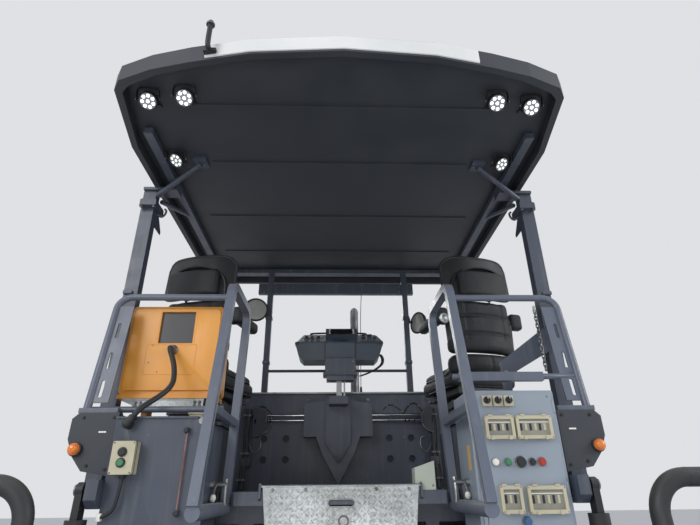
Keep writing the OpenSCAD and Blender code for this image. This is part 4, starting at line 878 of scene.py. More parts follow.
def puffed(mesh: Mesh, voxel_mm: float = 7.0, cap_mm: float = 14.0) -> Mesh:
    """Blow a closed form up a little, as stuffed vinyl does, with Blender's cloth.

    Args:
        mesh: The form before stuffing.
        voxel_mm: Size of the even faces that it gets.
        cap_mm: How far a point may move.
    """
    data = bpy.data.meshes.new("pad")
    data.from_pydata(mesh[0].tolist(), [], mesh[1])
    pad = bpy.data.objects.new("pad", data)
    scene = bpy.context.scene
    scene.collection.objects.link(pad)
    even = pad.modifiers.new("even", "REMESH")
    even.mode, even.voxel_size = "VOXEL", voxel_mm * MM
    pad.data = bpy.data.meshes.new_from_object(pad.evaluated_get(bpy.context.evaluated_depsgraph_get()))
    pad.modifiers.clear()
    count = len(pad.data.vertices)
    start = np.empty(count * 3)
    pad.data.vertices.foreach_get("co", start)
    start = start.reshape(-1, 3)
    end = start
    cloth = pad.modifiers.new("cloth", "CLOTH")
    cloth.settings.use_pressure, cloth.settings.uniform_pressure_force = True, 4.0
    cloth.settings.effector_weights.gravity = 0.0
    cloth.settings.tension_stiffness = cloth.settings.compression_stiffness = 12.0
    for frame in range(1, 21):
        scene.frame_set(frame)
    shown = pad.evaluated_get(bpy.context.evaluated_depsgraph_get()).to_mesh()
    end = np.empty(count * 3)
    shown.vertices.foreach_get("co", end)
    move = end.reshape(-1, 3) - start
    length = np.linalg.norm(move, axis=1)[:, None]
    end = start + move * np.minimum(1, cap_mm * MM / np.maximum(length, 1e-9))
    scene.frame_set(1)
    corners = np.empty(len(pad.data.loops), np.int32)
    pad.data.loops.foreach_get("vertex_index", corners)
    totals = np.empty(len(pad.data.polygons), np.int32)
    pad.data.polygons.foreach_get("loop_total", totals)
    faces = [f.tolist() for f in np.split(corners, np.cumsum(totals)[:-1])]
    bpy.data.objects.remove(pad)
    return end, faces


def sewn(mesh: Mesh, across: int, press: int, middle: float, lines: Sequence[float], depth_mm: float = 12.0,
        width_mm: float = 11.0) -> Mesh:
    """Draw a pad in along its seams.

    Args:
        mesh: The stuffed form.
        across: The axis along which the seams follow each other, 0 to 2.
        press: The axis along which a seam pulls.
        middle: Where the pad's middle plane lies on that axis.
        lines: Where the seams run.
        depth_mm: How deep a seam lies.
        width_mm: Half width of its valley.

    Returns:
        The pad with its channels.
    """
    points, faces = mesh
    points = points.copy()
    gap = np.abs(points[:, across, None] - np.asarray(lines)[None]).min(axis=1)
    pull = depth_mm * MM * np.exp(-((gap / (width_mm * MM)) ** 2))
    offset = points[:, press] - middle
    points[:, press] -= np.sign(offset) * np.minimum(pull, np.abs(offset) * 0.6)
    return points, faces


@dataclass
class Seat:
    """Operator's seat: stuffed cushion and back with sewn channels, shell, headrest and armrests.

    Attributes:
        side: Which of the two seats.
        pivot: Middle of its turning plate for the right side.
        turn: Degrees that the right seat is turned inwards.
        z: Height of the cushion's base.
    """

    side: Side
    pivot: Point = (0.925, -1.33)
    turn: float = 15.0
    z: float = 2.43

    def put(self, mesh: Mesh) -> Mesh:
        """Bring a form from the seat's own axes to its place."""
        points = mesh[0] @ about_z(self.turn).T + (*self.pivot, 0)
        return points * (self.side.value, 1, 1), mesh[1]

    def pads(self) -> dict[str, Mesh]:
        """The stuffed pieces in the seat's own axes."""
        z = self.z
        cushion = puffed(pillow((-0.228, -0.165, z - 0.012), (0.228, 0.283, z + 0.038), 0.024, 4), 6.0, 12.0)
        back = puffed(self.dished((-0.232, -0.288, z + 0.10), (0.232, -0.202, z + 0.486)), 6.5, 12.0)
        low = puffed(self.dished((-0.250, -0.298, z - 0.026), (0.250, -0.188, z + 0.102)), 6.5, 9.0)
        return {"cushion": sewn(sewn(cushion, 1, 2, z + 0.012, (-0.02, 0.13)), 0, 2, z + 0.012,
            (-0.13, 0.13)), "back": sewn(sewn(back, 2, 1, -0.24, (z + 0.235, z + 0.36)), 0, 1, -0.24,
            (-0.14, 0.14), 8.0), "roll_low": sewn(low, 0, 1, -0.24, (0.0,), 5.0),
            "roll_high": puffed(self.dished((-0.247, -0.298, z + 0.108), (0.247, -0.206, z + 0.225)), 6.5,
            9.0), "headrest": puffed(self.dished((-0.186, -0.262, z + 0.535), (0.186, -0.202, z + 0.75),
            0.03), 6.5, 8.0),}

    def dished(self, low: Point, high: Point, reach: float = 0.075) -> Mesh:
        """A round-edged box whose sides come forward, as a back that holds the body does."""
        points, faces = pillow(low, high, min(np.subtract(high, low)) * 0.42, 4)
        grid = bmesh.new()
        verts = [grid.verts.new(p) for p in points]
        for face in faces:
            grid.faces.new([verts[i] for i in face])
        bmesh.ops.triangulate(grid, faces=[f for f in grid.faces if len(f.verts) > 4])
        long = [e for e in grid.edges if e.calc_length() > 0.12]
        bmesh.ops.subdivide_edges(grid, edges=long, cuts=7, use_grid_fill=True)
        grid.verts.index_update()
        points = np.array([v.co for v in grid.verts])
        faces = [[v.index for v in f.verts] for f in grid.faces]
        grid.free()
        points[:, 1] += reach * (np.abs(points[:, 0]) / 0.25) ** 2.4
        return points, faces

    def hard(self, piece: Piece) -> None:
        """Shell, posts, armrests, levers and the piping along the cushion."""
        def add(mesh: Mesh, finish: str = "black_plastic") -> None:
            """Add a form that is in the seat's own axes."""
            piece.put(self.put(mesh), finish)

        z = self.z
        u = np.linspace(-1, 1, 17)
        v = np.linspace(0, 1, 9)
        a, b = np.meshgrid(u, v, indexing="ij")
        outline = 0.262 * np.sign(a) * np.abs(a) ** 0.9
        foot = z + 0.487 + 0.045 * np.abs(a) ** 4
        head = z + 0.80 - 0.055 * np.abs(a) ** 9
        height = foot + (head - foot) * b
        bow = -0.296 + 0.075 * np.abs(a) ** 2.4 + 0.015 * b
        outer = np.stack([outline, bow, height], axis=-1)
        inner = outer + (0, 0.02, 0)
        rim = np.concatenate([outer, inner[:, ::-1]], axis=1)
        add(skin(rim, wrap_v=True, capped=True))
        # Hooded moulding and pad on the shell's rear face
        arch = np.linspace(0, np.pi, 25)
        bend = np.column_stack([0.222 * np.cos(arch), -0.306 + 0.055 * np.abs(np.cos(arch)) ** 2.4,
            z + 0.50 + 0.215 * np.sin(arch) ** 0.55])
        add(swept(bend, [(-0.006, -0.016), (0.006, -0.016), (0.006, 0.016), (-0.006, 0.016)]))
        pad = self.dished((-0.185, -0.345, z + 0.492), (0.185, -0.298, z + 0.675), 0.045)
        add(pad, "black_vinyl")
        edge = np.concatenate([outer[0, ::-1], outer[:, 0], outer[-1], outer[::-1, -1]])
        add(swept(edge[np.r_[True, np.linalg.norm(np.diff(edge, axis=0), axis=1) > 1e-4]][:-1]
            + (0, 0.006, 0), 0.011, 8, True))
        for x in (-0.065, 0.065):
            add(swept([(x, -0.258, z + 0.43), (x, -0.258, z + 0.60)], 0.008, 10), "chromed_rod")
            add(lathe([(0, 0), (0.019, 0), (0.015, 0.016), (0, 0.016)], (x, -0.258, z + 0.485), steps=16))
        for way in (-1, 1):
            x = 0.282 * way
            rest = pillow((x - 0.034, -0.20, z + 0.325), (x + 0.034, 0.13, z + 0.405), 0.026)
            end = np.array([x + 0.010 * way, -0.195, z + 0.366])
            block = pillow(end - (0.046, 0.034, 0.058), end + (0.046, 0.034, 0.058), 0.022)
            add(rest, "black_vinyl")
            add(block, "black_vinyl")
            stay = [(-0.215, z + 0.16), (-0.165, z + 0.16), (-0.150, z + 0.345), (-0.192, z + 0.37),
                (-0.228, z + 0.33)]
            add(slab(stay, 0.018, (x - 0.050 * way - 0.009, 0, 0), AHEAD, UP))
            pin = [(0, 0), (0.024, 0), (0.024, 0.05), (0.018, 0.058), (0, 0.058)]
            add(lathe(pin, (x - 0.058 * way, -0.19, z + 0.36), (way, 0, 0), 18))
        hub = [(0, 0), (0.036, 0), (0.038, 0.004), (0.033, 0.009), (0.022, 0.006), (0.012, 0.011), (0, 0.012)]
        if self.side.value > 0:
            add(lathe(hub, (-0.284, -0.228, z + 0.340), REAR, 26), "galvanised")
        ring = round_rect(0.470, 0.466, 0.09, 7) + (0, 0.052)
        for height in (z - 0.008, z - 0.094):
            path = np.column_stack([ring, np.full(len(ring), height)])
            add(swept(path, 0.006, 6, True))
        base = pillow((-0.242, -0.187, z - 0.100), (0.242, 0.288, z - 0.006), 0.035, 5)
        add(base, "black_vinyl")
        add(pillow((-0.20, -0.18, z - 0.15), (0.20, 0.20, z - 0.098), 0.008, 2))
        for x, y in ((0.235, 0.16), (0.235, 0.06), (-0.235, 0.12)):
            way = math.copysign(1, x)
            add(swept(smooth([(x - 0.05 * way, y, z - 0.128), (x, y, z - 0.126),
                (x + 0.035 * way, y, z - 0.118)], 8), 0.005, 8), "worn_steel")
            add(lathe([(0, 0), (0.011, 0.004), (0.013, 0.02), (0.009, 0.034), (0, 0.038)],
                (x + 0.03 * way, y, z - 0.119), (way, 0, 0.2), 14))
        add(swept([(-0.205, 0.215, z - 0.13), (-0.205, 0.262, z - 0.142), (0.205, 0.262, z - 0.142),
            (0.205, 0.215, z - 0.13)], 0.007, 8), "worn_steel")

    def build(self, finishes: dict[str, bpy.types.Material], pads: dict[str, Mesh]) -> None:
        """Make the seat's pieces; the pads are shared by both sides."""
        body = f"{self.side.word}_seat"
        for name, mesh in pads.items():
            pad = Piece(f"{body}_{name}", finishes).put(self.put(mesh), "black_vinyl")
            pad.build(body, "black_vinyl", crease=60, levels=0)
        frame = Piece(f"{body}_frame", finishes)
        self.hard(frame)
        frame.build(body, "black_vinyl", 1.2, 40, stands_for=[f"seat_{self.side.word}"])


# Repeats


def lozenges(origin: Point, u: Point, v: Point, size: Point, pitch_mm: float = 34.0,
        holes: Sequence[Sequence[float]] = ()) -> Mesh:
    """Raised bars of checker plate in alternate directions over a rectangle.

    Args:
        origin: Corner of the rectangle, on the plate's face.
        u: Direction of its first side.
        v: Direction of its second side; u cross v points out of the plate.
        size: Lengths of the sides.
        pitch_mm: Distance between bars.
        holes: Rectangles left plain, as low u, low v, high u, high v.

    Returns:
        All bars, each sunk a little into the plate.
    """
    step = pitch_mm * MM
    across, up = (max(1, int(s / step)) for s in size)
    i, j = np.meshgrid(np.arange(across), np.arange(up), indexing="ij")
    flat = np.stack([(i + 0.5) * size[0] / across, (j + 0.5) * size[1] / up], axis=-1).reshape(-1, 2)
    parity = ((i + j) % 2).ravel()
    keep = np.ones(len(flat), bool)
    for a, b, c, d in holes:
        keep &= ~((flat[:, 0] > a) & (flat[:, 0] < c) & (flat[:, 1] > b) & (flat[:, 1] < d))
    flat, parity = flat[keep], parity[keep]
    ring = np.array([(-0.46, 0), (-0.26, 0.13), (0.26, 0.13), (0.46, 0), (0.26, -0.13),
        (-0.26, -0.13)]) * step
    axes = np.stack([u, v, np.cross(u, v)], axis=1)
    bar = skin(np.stack([np.column_stack([ring, np.full(6, -0.0006)]),
        np.column_stack([ring * (0.86, 0.5), np.full(6, 0.0019)])]), wrap_v=True, capped=True)
    turns = np.stack([axes @ about_z(45), axes @ about_z(-45)])[parity]
    return copies(bar, np.asarray(origin) + flat @ np.stack([u, v]).astype(float), turns)


def chain(start: Point, end: Point, sag: float, wire: float = 0.0035, link: float = 0.034) -> Mesh:
    """Hanging chain of welded links between two points."""
    start, end = np.asarray(start, float), np.asarray(end, float)
    t = np.linspace(0, 1, 200)[:, None]
    line = start + (end - start) * t - np.array([0, 0, sag]) * 4 * t * (1 - t)
    run = np.concatenate([[0], np.cumsum(np.linalg.norm(np.diff(line, axis=0), axis=1))])
    pitch = link - 3.2 * wire
    places = np.arange(pitch / 2, run[-1], pitch)
    middle = np.stack([np.interp(places, run, line[:, k]) for k in range(3)], axis=-1)
    a = np.linspace(0, 2 * np.pi, 16, endpoint=False)
    half = link / 2 - 2.6 * wire
    oval = np.stack([np.cos(a) * 2.1 * wire, np.zeros(16), np.sin(a) * 2.1 * wire + np.sign(np.sin(a))
        * half], axis=-1)
    ring = swept(oval, wire, 6, True)
    way = np.gradient(middle, axis=0)
    turns = np.stack([frame_of(w) @ about_z(90.0 * (k % 2)) for k, w in enumerate(way)])
    return copies(ring, middle, turns)


def screws(places: Sequence[Point], axis: Point, radius: float = 0.008, hexagonal: bool = True) -> Mesh:
    """Screw heads at the places, standing out along the axis."""
    if hexagonal:
        head = bolt(radius, radius * 0.75)
    else:
        head = lathe([(0, -0.0005), (radius, -0.0005), (radius * 0.95, radius * 0.25),
            (radius * 0.6, radius * 0.5), (0, radius * 0.55)], steps=14)
    return copies(head, places, frame_of(axis))


def row(start: Point, end: Point, count: int) -> np.ndarray:
    """Evenly spaced points, both ends among them."""
    return np.linspace(start, end, count)


@dataclass
class Rear(Assembly):
    """What the eye meets at the rear: cabinets, storage case, guards and the passage's flap.

    Attributes:
        face: Place along Y of the cabinets' rear faces.
    """

    face: float = -2.33

    # Columns: left, bottom, width and height of each window cover
    covers = ((0.673, 1.930, 0.138, 0.104), (0.821, 1.930, 0.171, 0.104), (0.703, 1.622, 0.100, 0.112),
        (0.826, 1.620, 0.174, 0.112))
    # Places along X of the rotary switches
    rotary = (0.699, 0.752, 0.805)
    # Columns: place along X, height, radius and finish of each button
    buttons = ((0.705, 1.832, 0.012, "white_plastic"), (0.763, 1.832, 0.012, "green_plastic"),
        (0.823, 1.832, 0.020, "black_plastic"), (0.876, 1.832, 0.012, "black_plastic"),
        (0.921, 1.832, 0.014, "red_plastic"), (0.812, 1.590, 0.015, "blue_plastic"))

    def switches(self) -> None:
        """Switch cabinet: window covers with their breakers, rotary switches and buttons."""
        face = self.face - 0.009
        zones = []
        for x, z, w, h in self.covers:
            zones.append(("smoked_window", (x + 0.013, face - 0.0161, z + 0.015),
                (x + w - 0.013, face - 0.0145, z + h - 0.015)))
        for x in self.rotary:
            zones.append(("black_plastic", (x - 0.0155, face - 0.04, 2.088),
                (x + 0.0155, face - 0.0141, 2.124)))
        for x, z, r, finish in self.buttons:
            zones.append((finish, (x - r - 0.001, face - 0.02, z - r - 0.001),
                (x + r + 0.001, face - 0.0081, z + r + 0.001)))
            zones.append(("worn_steel", (x - r - 0.005, face - 0.0081, z - r - 0.005),
                (x + r + 0.005, face + 0.001, z + r + 0.005)))
        self.coat("cabinet_controls", "beige_plastic", zones, 0.5)
        extra = Piece("cabinet_fittings", self.finishes)
        for x, z, w, h in self.covers:
            for share in (0.2, 0.8):
                hinge = (x + share * w, face - 0.024, z + h + 0.001)
                extra.put(swept([np.add(hinge, (-0.011, 0, 0)), np.add(hinge, (0.011, 0, 0))], 0.0055, 8),
                    "beige_plastic")
                extra.put(pillow((hinge[0] - 0.008, face - 0.031, z - 0.004),
                    (hinge[0] + 0.008, face - 0.0255, z + 0.014), 0.002, 2), "beige_plastic")
            count = max(4, int(w / 0.022))
            for k in range(count - 1):
                left = x + 0.018 + k * (w - 0.036) / (count - 1)
                extra.put(pillow((left, face - 0.0185, z + h * 0.36),
                    (left + 0.011, face - 0.0155, z + h * 0.66), 0.0008, 2), "beige_plastic" if k % 2
                    else "black_plastic")
            extra.put(slab(round_rect(w - 0.028, 0.004, 0.0015, 2) + (x + w / 2, z + h * 0.72), 0.0008,
                (0, face - 0.0158, 0)), "white_plastic")
            extra.fasten([(x + 0.006, face - 0.0259, z + 0.007), (x + w - 0.006, face - 0.0259, z + 0.007),
                (x + 0.006, face - 0.0259, z + h - 0.007), (x + w - 0.006, face - 0.0259, z + h - 0.007)],
                REAR, 0.0026, False)
        for x in self.rotary:
            extra.put(lathe([(0, 0), (0.017, 0), (0.0165, 0.0035), (0.0125, 0.004), (0.012, 0)],
                (x, face - 0.0138, 2.107), REAR, 24))
            extra.put(slab(round_rect(0.003, 0.012, 0.001, 2) + (x, 2.117), 0.0008, (0, face - 0.0359, 0)),
                "white_plastic")
        for x, z, r, _ in self.buttons:
            extra.put(lathe([(r + 0.002, 0), (r + 0.0065, 0), (r + 0.006, 0.006), (r + 0.002, 0.0075)],
                (x, face - 0.001, z), REAR, 24), "worn_steel")
        for x, z in ((0.636, 1.95), (0.636, 1.55), (0.636, 1.30)):
            extra.put(lathe([(0, 0), (0.012, 0), (0.012, 0.005), (0.009, 0.008), (0, 0.008)], (x, face, z),
                REAR, 20), "worn_steel")
            extra.put(slab(round_rect(0.003, 0.012, 0.001, 2) + (x, z), 0.0008, (0, face - 0.0078, 0)))
        for z in (1.32, 1.72, 2.08):
            extra.put(swept([(1.0235, face + 0.002, z - 0.03), (1.0235, face + 0.002, z + 0.03)], 0.006,
                10), "cabinet_grey")
        extra.fasten([(x, face + 0.0002, z) for x in (0.645, 1.0) for z in (1.235, 2.126)], REAR, 0.005,
            False)
        for x, z, w, h in ((0.70, 1.36, 0.12, 0.09), (0.86, 1.38, 0.13, 0.08)):
            extra.put(pillow((x, face - 0.022, z), (x + w, face - 0.0002, z + h), 0.006, 3), "beige_plastic")
            extra.fasten([(x + 0.008, face - 0.022, z + 0.008),
                (x + w - 0.008, face - 0.022, z + h - 0.008)], REAR, 0.0026, False)
        extra.build("chassis", "beige_plastic", 0.4)

    def left_cabinet(self) -> None:
        """Left cabinet: cable socket, gas strut, push-button box, lid screws."""
        self.coat("left_cabinet", "slate_paint", [
            ("black_plastic", (-1.04, -2.45, 1.93), (-0.93, -2.3305, 2.08)),
            ("rusty_rod", (-0.73, -2.36, 1.655), (-0.70, -2.3312, 1.965)),
            ("galvanised", (-0.68, -2.34, 2.005), (-0.62, -2.3303, 2.045))], 1.5)
        face = self.face - 0.062
        self.coat("button_box", "beige_plastic", [
            ("black_plastic", (-0.986, face - 0.02, 1.870), (-0.954, face - 0.0005, 1.902)),
            ("green_plastic", (-0.986, face - 0.02, 1.826), (-0.954, face - 0.0005, 1.858))], 0.8)
        extra = Piece("left_cabinet_fittings", self.finishes)
        extra.fasten([(x, face, z) for x in (-1.011, -0.925) for z in (1.801, 1.925)], REAR, 0.004, False)
        for z in (1.886, 1.842):
            extra.put(lathe([(0.0145, 0), (0.0205, 0), (0.020, 0.006), (0.0145, 0.008)], (-0.970, face, z),
                REAR, 24))
        gasket = round_rect(0.104, 0.142, 0.009) + (-0.968, 1.863)
        extra.put(slab(gasket, 0.002, (0, self.face - 0.040, 0)))
        tail = smooth([(-0.966, self.face - 0.03, 1.794), (-0.966, self.face - 0.03, 1.76),
            (-0.972, self.face - 0.028, 1.70), (-0.985, self.face - 0.024, 1.655),
            (-1.02, self.face - 0.020, 1.632), (-1.043, self.face - 0.012, 1.628)], 26)
        extra.put(swept(tail, 0.0075, 10))
        extra.put(lathe([(0, 0), (0.013, 0), (0.013, 0.012), (0.009, 0.018), (0, 0.018)],
            (-0.966, self.face - 0.03, 1.795), DOWN, 16))
        extra.put(pillow((-1.049, self.face - 0.024, 1.612), (-1.030, self.face - 0.0003, 1.644), 0.004),
            "white_plastic")
        for z in (1.98, 1.64):
            extra.put(lathe([(0, 0), (0.011, 0), (0.013, 0.006), (0.011, 0.014), (0, 0.016)],
                (-0.7135, self.face - 0.02, z), REAR, 16))
        extra.fasten([*row((-1.035, self.face, 1.215), (-0.625, self.face, 1.215), 4),
            (-1.03, self.face, 1.55), (-0.625, self.face, 1.55)], REAR, 0.007)
        extra.put(swept([(-1.047, self.face - 0.0008, 1.48), (-0.612, self.face - 0.0008, 1.48)], 0.0012, 6))
        extra.put(swept([(-0.90, self.face - 0.012, 1.44), (-0.76, self.face - 0.012, 1.44)], 0.006, 8))
        for x in (-0.90, -0.76):
            extra.put(swept([(x, self.face - 0.012, 1.44), (x, self.face + 0.001, 1.44)], 0.006, 8))
        extra.build("chassis", "dark_moulding", 0.5)

    def case(self) -> None:
        """Storage case: its window, faint raised panel, gland, screws and mounting plate."""
        y = -2.08
        self.coat("storage_case", "yellow_paint", [
            ("galvanised", (-1.2, -2.2, 2.14), (-0.6, -1.8, 2.1684)),
            ("dark_gloss", (-1.013, y + 0.012, 2.465), (-0.819, y + 0.0215, 2.653)),
            ("black_plastic", (-0.95, y - 0.04, 2.40), (-0.89, y - 0.0005, 2.455))], 2.5)
        extra = Piece("case_fittings", self.finishes)
        ring = round_rect(0.204, 0.198, 0.008) + (-0.916, 2.559)
        path = upright(ring, y + 0.0002)
        extra.put(swept(path, [(-0.003, -0.0015), (0.003, -0.0015), (0.003, 0.0015), (-0.003, 0.0015)],
            closed=True), "yellow_paint")
        panel = round_rect(0.27, 0.165, 0.012) + (-0.93, 2.378)
        edge = upright(panel, y + 0.0002)
        extra.put(swept(edge, 0.0022, 6, True), "yellow_paint")
        extra.put(lathe([(0.0145, 0), (0.0275, 0), (0.0275, 0.006), (0.023, 0.010), (0.023, 0.022),
            (0.018, 0.030), (0.0145, 0.030)], (-0.921, y + 0.001, 2.429), REAR, 20), "worn_steel")
        for dx, dz in ((-0.018, -0.018), (0.018, -0.018), (-0.018, 0.018), (0.018, 0.018)):
            extra.fasten([(-0.921 + dx, y - 0.005, 2.429 + dz)], REAR, 0.0035, False)
        extra.fasten([(-1.035, y, 2.455), (-1.043, y, 2.36), (-0.99, y, 2.31)], REAR, 0.004, False)
        front = -2.084
        extra.put(pillow((-1.088, front - 0.003, 2.118), (-0.722, front + 0.006, 2.159), 0.0015, 2),
            "galvanised")
        extra.fasten([(x, front - 0.003, z) for x in (-1.07, -1.045, -0.765, -0.74)
            for z in (2.131, 2.148)], REAR, 0.0062)
        for z in (2.26, 2.60):
            extra.fasten([(-0.664, -1.99, z)], RIGHT, 0.006)
            extra.put(pillow((-0.668, -2.02, z - 0.04), (-0.6605, -1.96, z + 0.04), 0.0015, 2),
                "yellow_paint")
        extra.build("chassis", "yellow_paint", 0.5)

    def guards(self) -> None:
        """Corner guards with amber road lamps in round housings."""
        zones = [("amber_lens", (min(a, b), -2.33, 1.875), (max(a, b), -2.3002, 1.935))
                 for a, b in ((1.19, 1.255), (-1.255, -1.19))]
        self.coat("side_guards", "dark_moulding", zones, 2.0)
        extra = Piece("road_lamps", self.finishes)
        for s in (-1, 1):
            lens = [(0.0262, 0), (0.031, 0), (0.031, 0.012), (0.0262, 0.014)]
            extra.put(lathe(lens, (s * 1.222, -2.3003, 1.905), REAR, 24))
            extra.put(lathe([(0, 0), (0.024, 0), (0.024, 0.003), (0.020, 0.011), (0.012, 0.016),
                (0, 0.0175)], (s * 1.222, -2.3235, 1.905), REAR, 28), "amber_lens")
            extra.put(pillow((s * 1.115 - 0.018, -2.3035, 1.976), (s * 1.115 + 0.018, -2.3001, 1.984),
                0.0015, 2), "white_plastic")
            extra.put(screws([(s * x, -2.3, z) for x, z in ((1.075, 2.045), (1.215, 2.045), (1.075, 1.82),
                (1.16, 1.835))], REAR, 0.006))
        extra.build("chassis", "amber_lens" if "amber_lens" in self.slots() else None, 0.4)

    def slots(self) -> set[str]:
        """Names of the record's material slots."""
        return {entry["slot"] for entry in self.frame["record"]["materials"]}

    def flap(self) -> None:
        """Flap of the passage: checker bars, handle slot's lip and the latch."""
        extra = Piece("flap_bars", self.finishes)
        face = -2.12 - 0.014
        extra.put(lozenges((-0.348, face, 1.498), RIGHT, UP, (0.696, 0.236), 24,
                           [(0.275, 0.148, 0.422, 0.192), (0.328, 0.064, 0.390, 0.122)]), "galvanised")
        lip = round_rect(0.132, 0.036, 0.0175) + (0, 1.668)
        extra.put(swept(upright(lip, face), 0.002, 6, True), "galvanised")
        extra.put(lathe([(0, 0), (0.026, 0), (0.026, 0.002), (0.018, 0.004), (0, 0.004)],
            (0.011, face + 0.0002, 1.591), REAR, 24), "worn_steel")
        extra.fasten([(x, face, 1.727) for x in (-0.33, -0.17, 0.17, 0.33)], REAR, 0.006)
        extra.build("flap", "galvanised")

    def build(self) -> None:
        """Make all of it."""
        self.switches()
        self.left_cabinet()
        self.case()
        self.guards()
        self.flap()


class Canopy(Assembly):
    """Work lamps, beacon bar, fascia and hooks of the canopy, the mirrors and the chain."""

    # Place along X and along Y of each work lamp, right side
    spots = ((0.990, -2.817), (0.800, -2.843), (0.990, -2.331))

    def lamp(self, piece: Piece, x: float, y: float, side: int, strong: float) -> None:
        """One round work lamp: cast body with fins, eight diodes on a lit reflector, and its yoke."""
        tilt = about_x(-35)
        out = about_z(0 if strong > 1 else side * 38) @ tilt @ np.array([0.0, 0, -1])
        base = np.array([side * x, y, 3.516])
        turn = frame_of(-out)

        def put(mesh: Mesh) -> Mesh:
            """Bring a form from the lamp's own axes to its place."""
            return mesh[0] @ turn.T + base, mesh[1]

        shell = [(0, 0.052), (0.022, 0.052), (0.026, 0.038), (0.040, 0.034), (0.047, 0.024), (0.048, 0.002),
            (0.0462, -0.001), (0.0425, 0.0), (0.0415, 0.006), (0, 0.0062)]
        piece.put(put(lathe(shell, steps=36)))
        fin = pillow((-0.0465, -0.0012, 0.020), (0.0465, 0.0012, 0.046), 0.0008, 2)
        piece.put(put(copies(fin, [(0, k * 0.011, 0) for k in (-2, -1, 0, 1, 2)])))
        reflector = lathe([(0, 0.0045), (0.030, 0.0045), (0.0408, 0.0045), (0.0412, 0.0064), (0, 0.0064)],
            steps=36)
        piece.put(put(reflector), "diode_body")
        eye = lathe([(0, 0.0003), (0.0086, 0.0003), (0.0080, -0.0018), (0.005, -0.0034), (0, -0.004)],
            (0, 0, 0.0045), steps=16)
        ring = [(0.0285 * math.cos(a), 0.0285 * math.sin(a), 0) for a in np.arange(7) * 2 * math.pi / 7]
        piece.put(put(copies(eye, [(0, 0, 0), *ring])), "lit_diode" if strong > 1 else "lit_diode_low")
        yoke = smooth([(side * x - 0.056, y, 3.530), (side * x - 0.056, y - 0.012, 3.560),
            (side * x - 0.040, y - 0.02, 3.5825), (side * x + 0.040, y - 0.02, 3.5825),
            (side * x + 0.056, y - 0.012, 3.560), (side * x + 0.056, y, 3.530)], 26)
        piece.put(swept(yoke, [(-0.002, -0.009), (0.002, -0.009), (0.002, 0.009), (-0.002, 0.009)]))
        for dx in (-0.058, 0.058):
            piece.fasten([(side * x + dx, y, 3.531)], (math.copysign(1, dx), 0, 0), 0.006)
        cable = smooth([base - out * 0.050, base - out * 0.062 + (0, 0.01, 0.002),
            (side * x * 0.985, y + 0.06, 3.578), (side * x * 0.97, y + 0.11, 3.5835)], 14)
        piece.put(swept(cable, 0.0035, 6))

    def lamps(self) -> None:
        """All six work lamps, as one piece that stands for the CAD's."""
        piece = Piece("work_lamps", self.finishes)
        for side in (-1, 1):
            for k, (x, y) in enumerate(self.spots):
                self.lamp(piece, x, y, side, 2 if k < 2 else 1)
        piece.build("chassis", "lamp_glass", 0, 30, stands_for=["roof_lamps"])

    def roof(self) -> None:
        """Pale fascia of the rear edge, beacon bar and lifting eyes."""
        piece = Piece("roof_trim", self.finishes)
        # Half outline of the rear edge in plan
        plan = np.array([(0.911, -3.020), (0.718, -3.068), (0.427, -3.123), (0.0, -3.150), (-0.427, -3.123),
            (-0.718, -3.068), (-0.911, -3.020)])
        u = np.linspace(0.0, 1.0, 61)
        run = np.concatenate([[0], np.cumsum(np.linalg.norm(np.diff(plan, axis=0), axis=1))])
        line = np.stack([np.interp(u * run[-1], run, plan[:, k]) for k in range(2)], axis=-1)
        line = line[np.abs(line[:, 0]) < 0.66]
        way = np.gradient(line, axis=0)
        away = np.stack([-way[:, 1], way[:, 0]], axis=-1)
        away /= np.linalg.norm(away, axis=1)[:, None]
        away *= np.sign(-away[:, 1])[:, None]
        strip = []
        for out, z in ((0.0005, 3.531), (0.0055, 3.533), (0.0055, 3.609), (0.0005, 3.611)):
            strip.append(np.column_stack([line + away * out, np.full(len(line), z)]))
        piece.put(skin(np.stack(strip, axis=1), wrap_v=True, capped=True), "fascia_white")
        # Beacon bar at the left of the rear edge
        x, y = -0.615, -3.115
        piece.put(pillow((x - 0.03, y - 0.001, 3.545), (x + 0.03, y + 0.05, 3.565), 0.004, 3))
        piece.put(swept(smooth([(x, y + 0.01, 3.553), (x - 0.002, y - 0.021, 3.553),
            (x - 0.004, y - 0.024, 3.60), (x - 0.004, y - 0.022, 3.705)], 20), 0.012, 12))
        piece.put(lathe([(0, 0), (0.02, 0), (0.02, 0.008), (0.013, 0.016), (0.013, 0.022), (0, 0.022)],
            (x - 0.004, y - 0.022, 3.683), UP, 18), "worn_steel")
        for sx in (-0.78, 0.78):
            for sy in (-2.30, -0.80):
                piece.put(swept(smooth([(sx - 0.03, sy, 3.688), (sx - 0.028, sy, 3.702), (sx, sy, 3.7065),
                    (sx + 0.028, sy, 3.702), (sx + 0.03, sy, 3.688)], 14), 0.0035, 8), "worn_steel")
        piece.build("chassis", "slate_paint", 0.4)

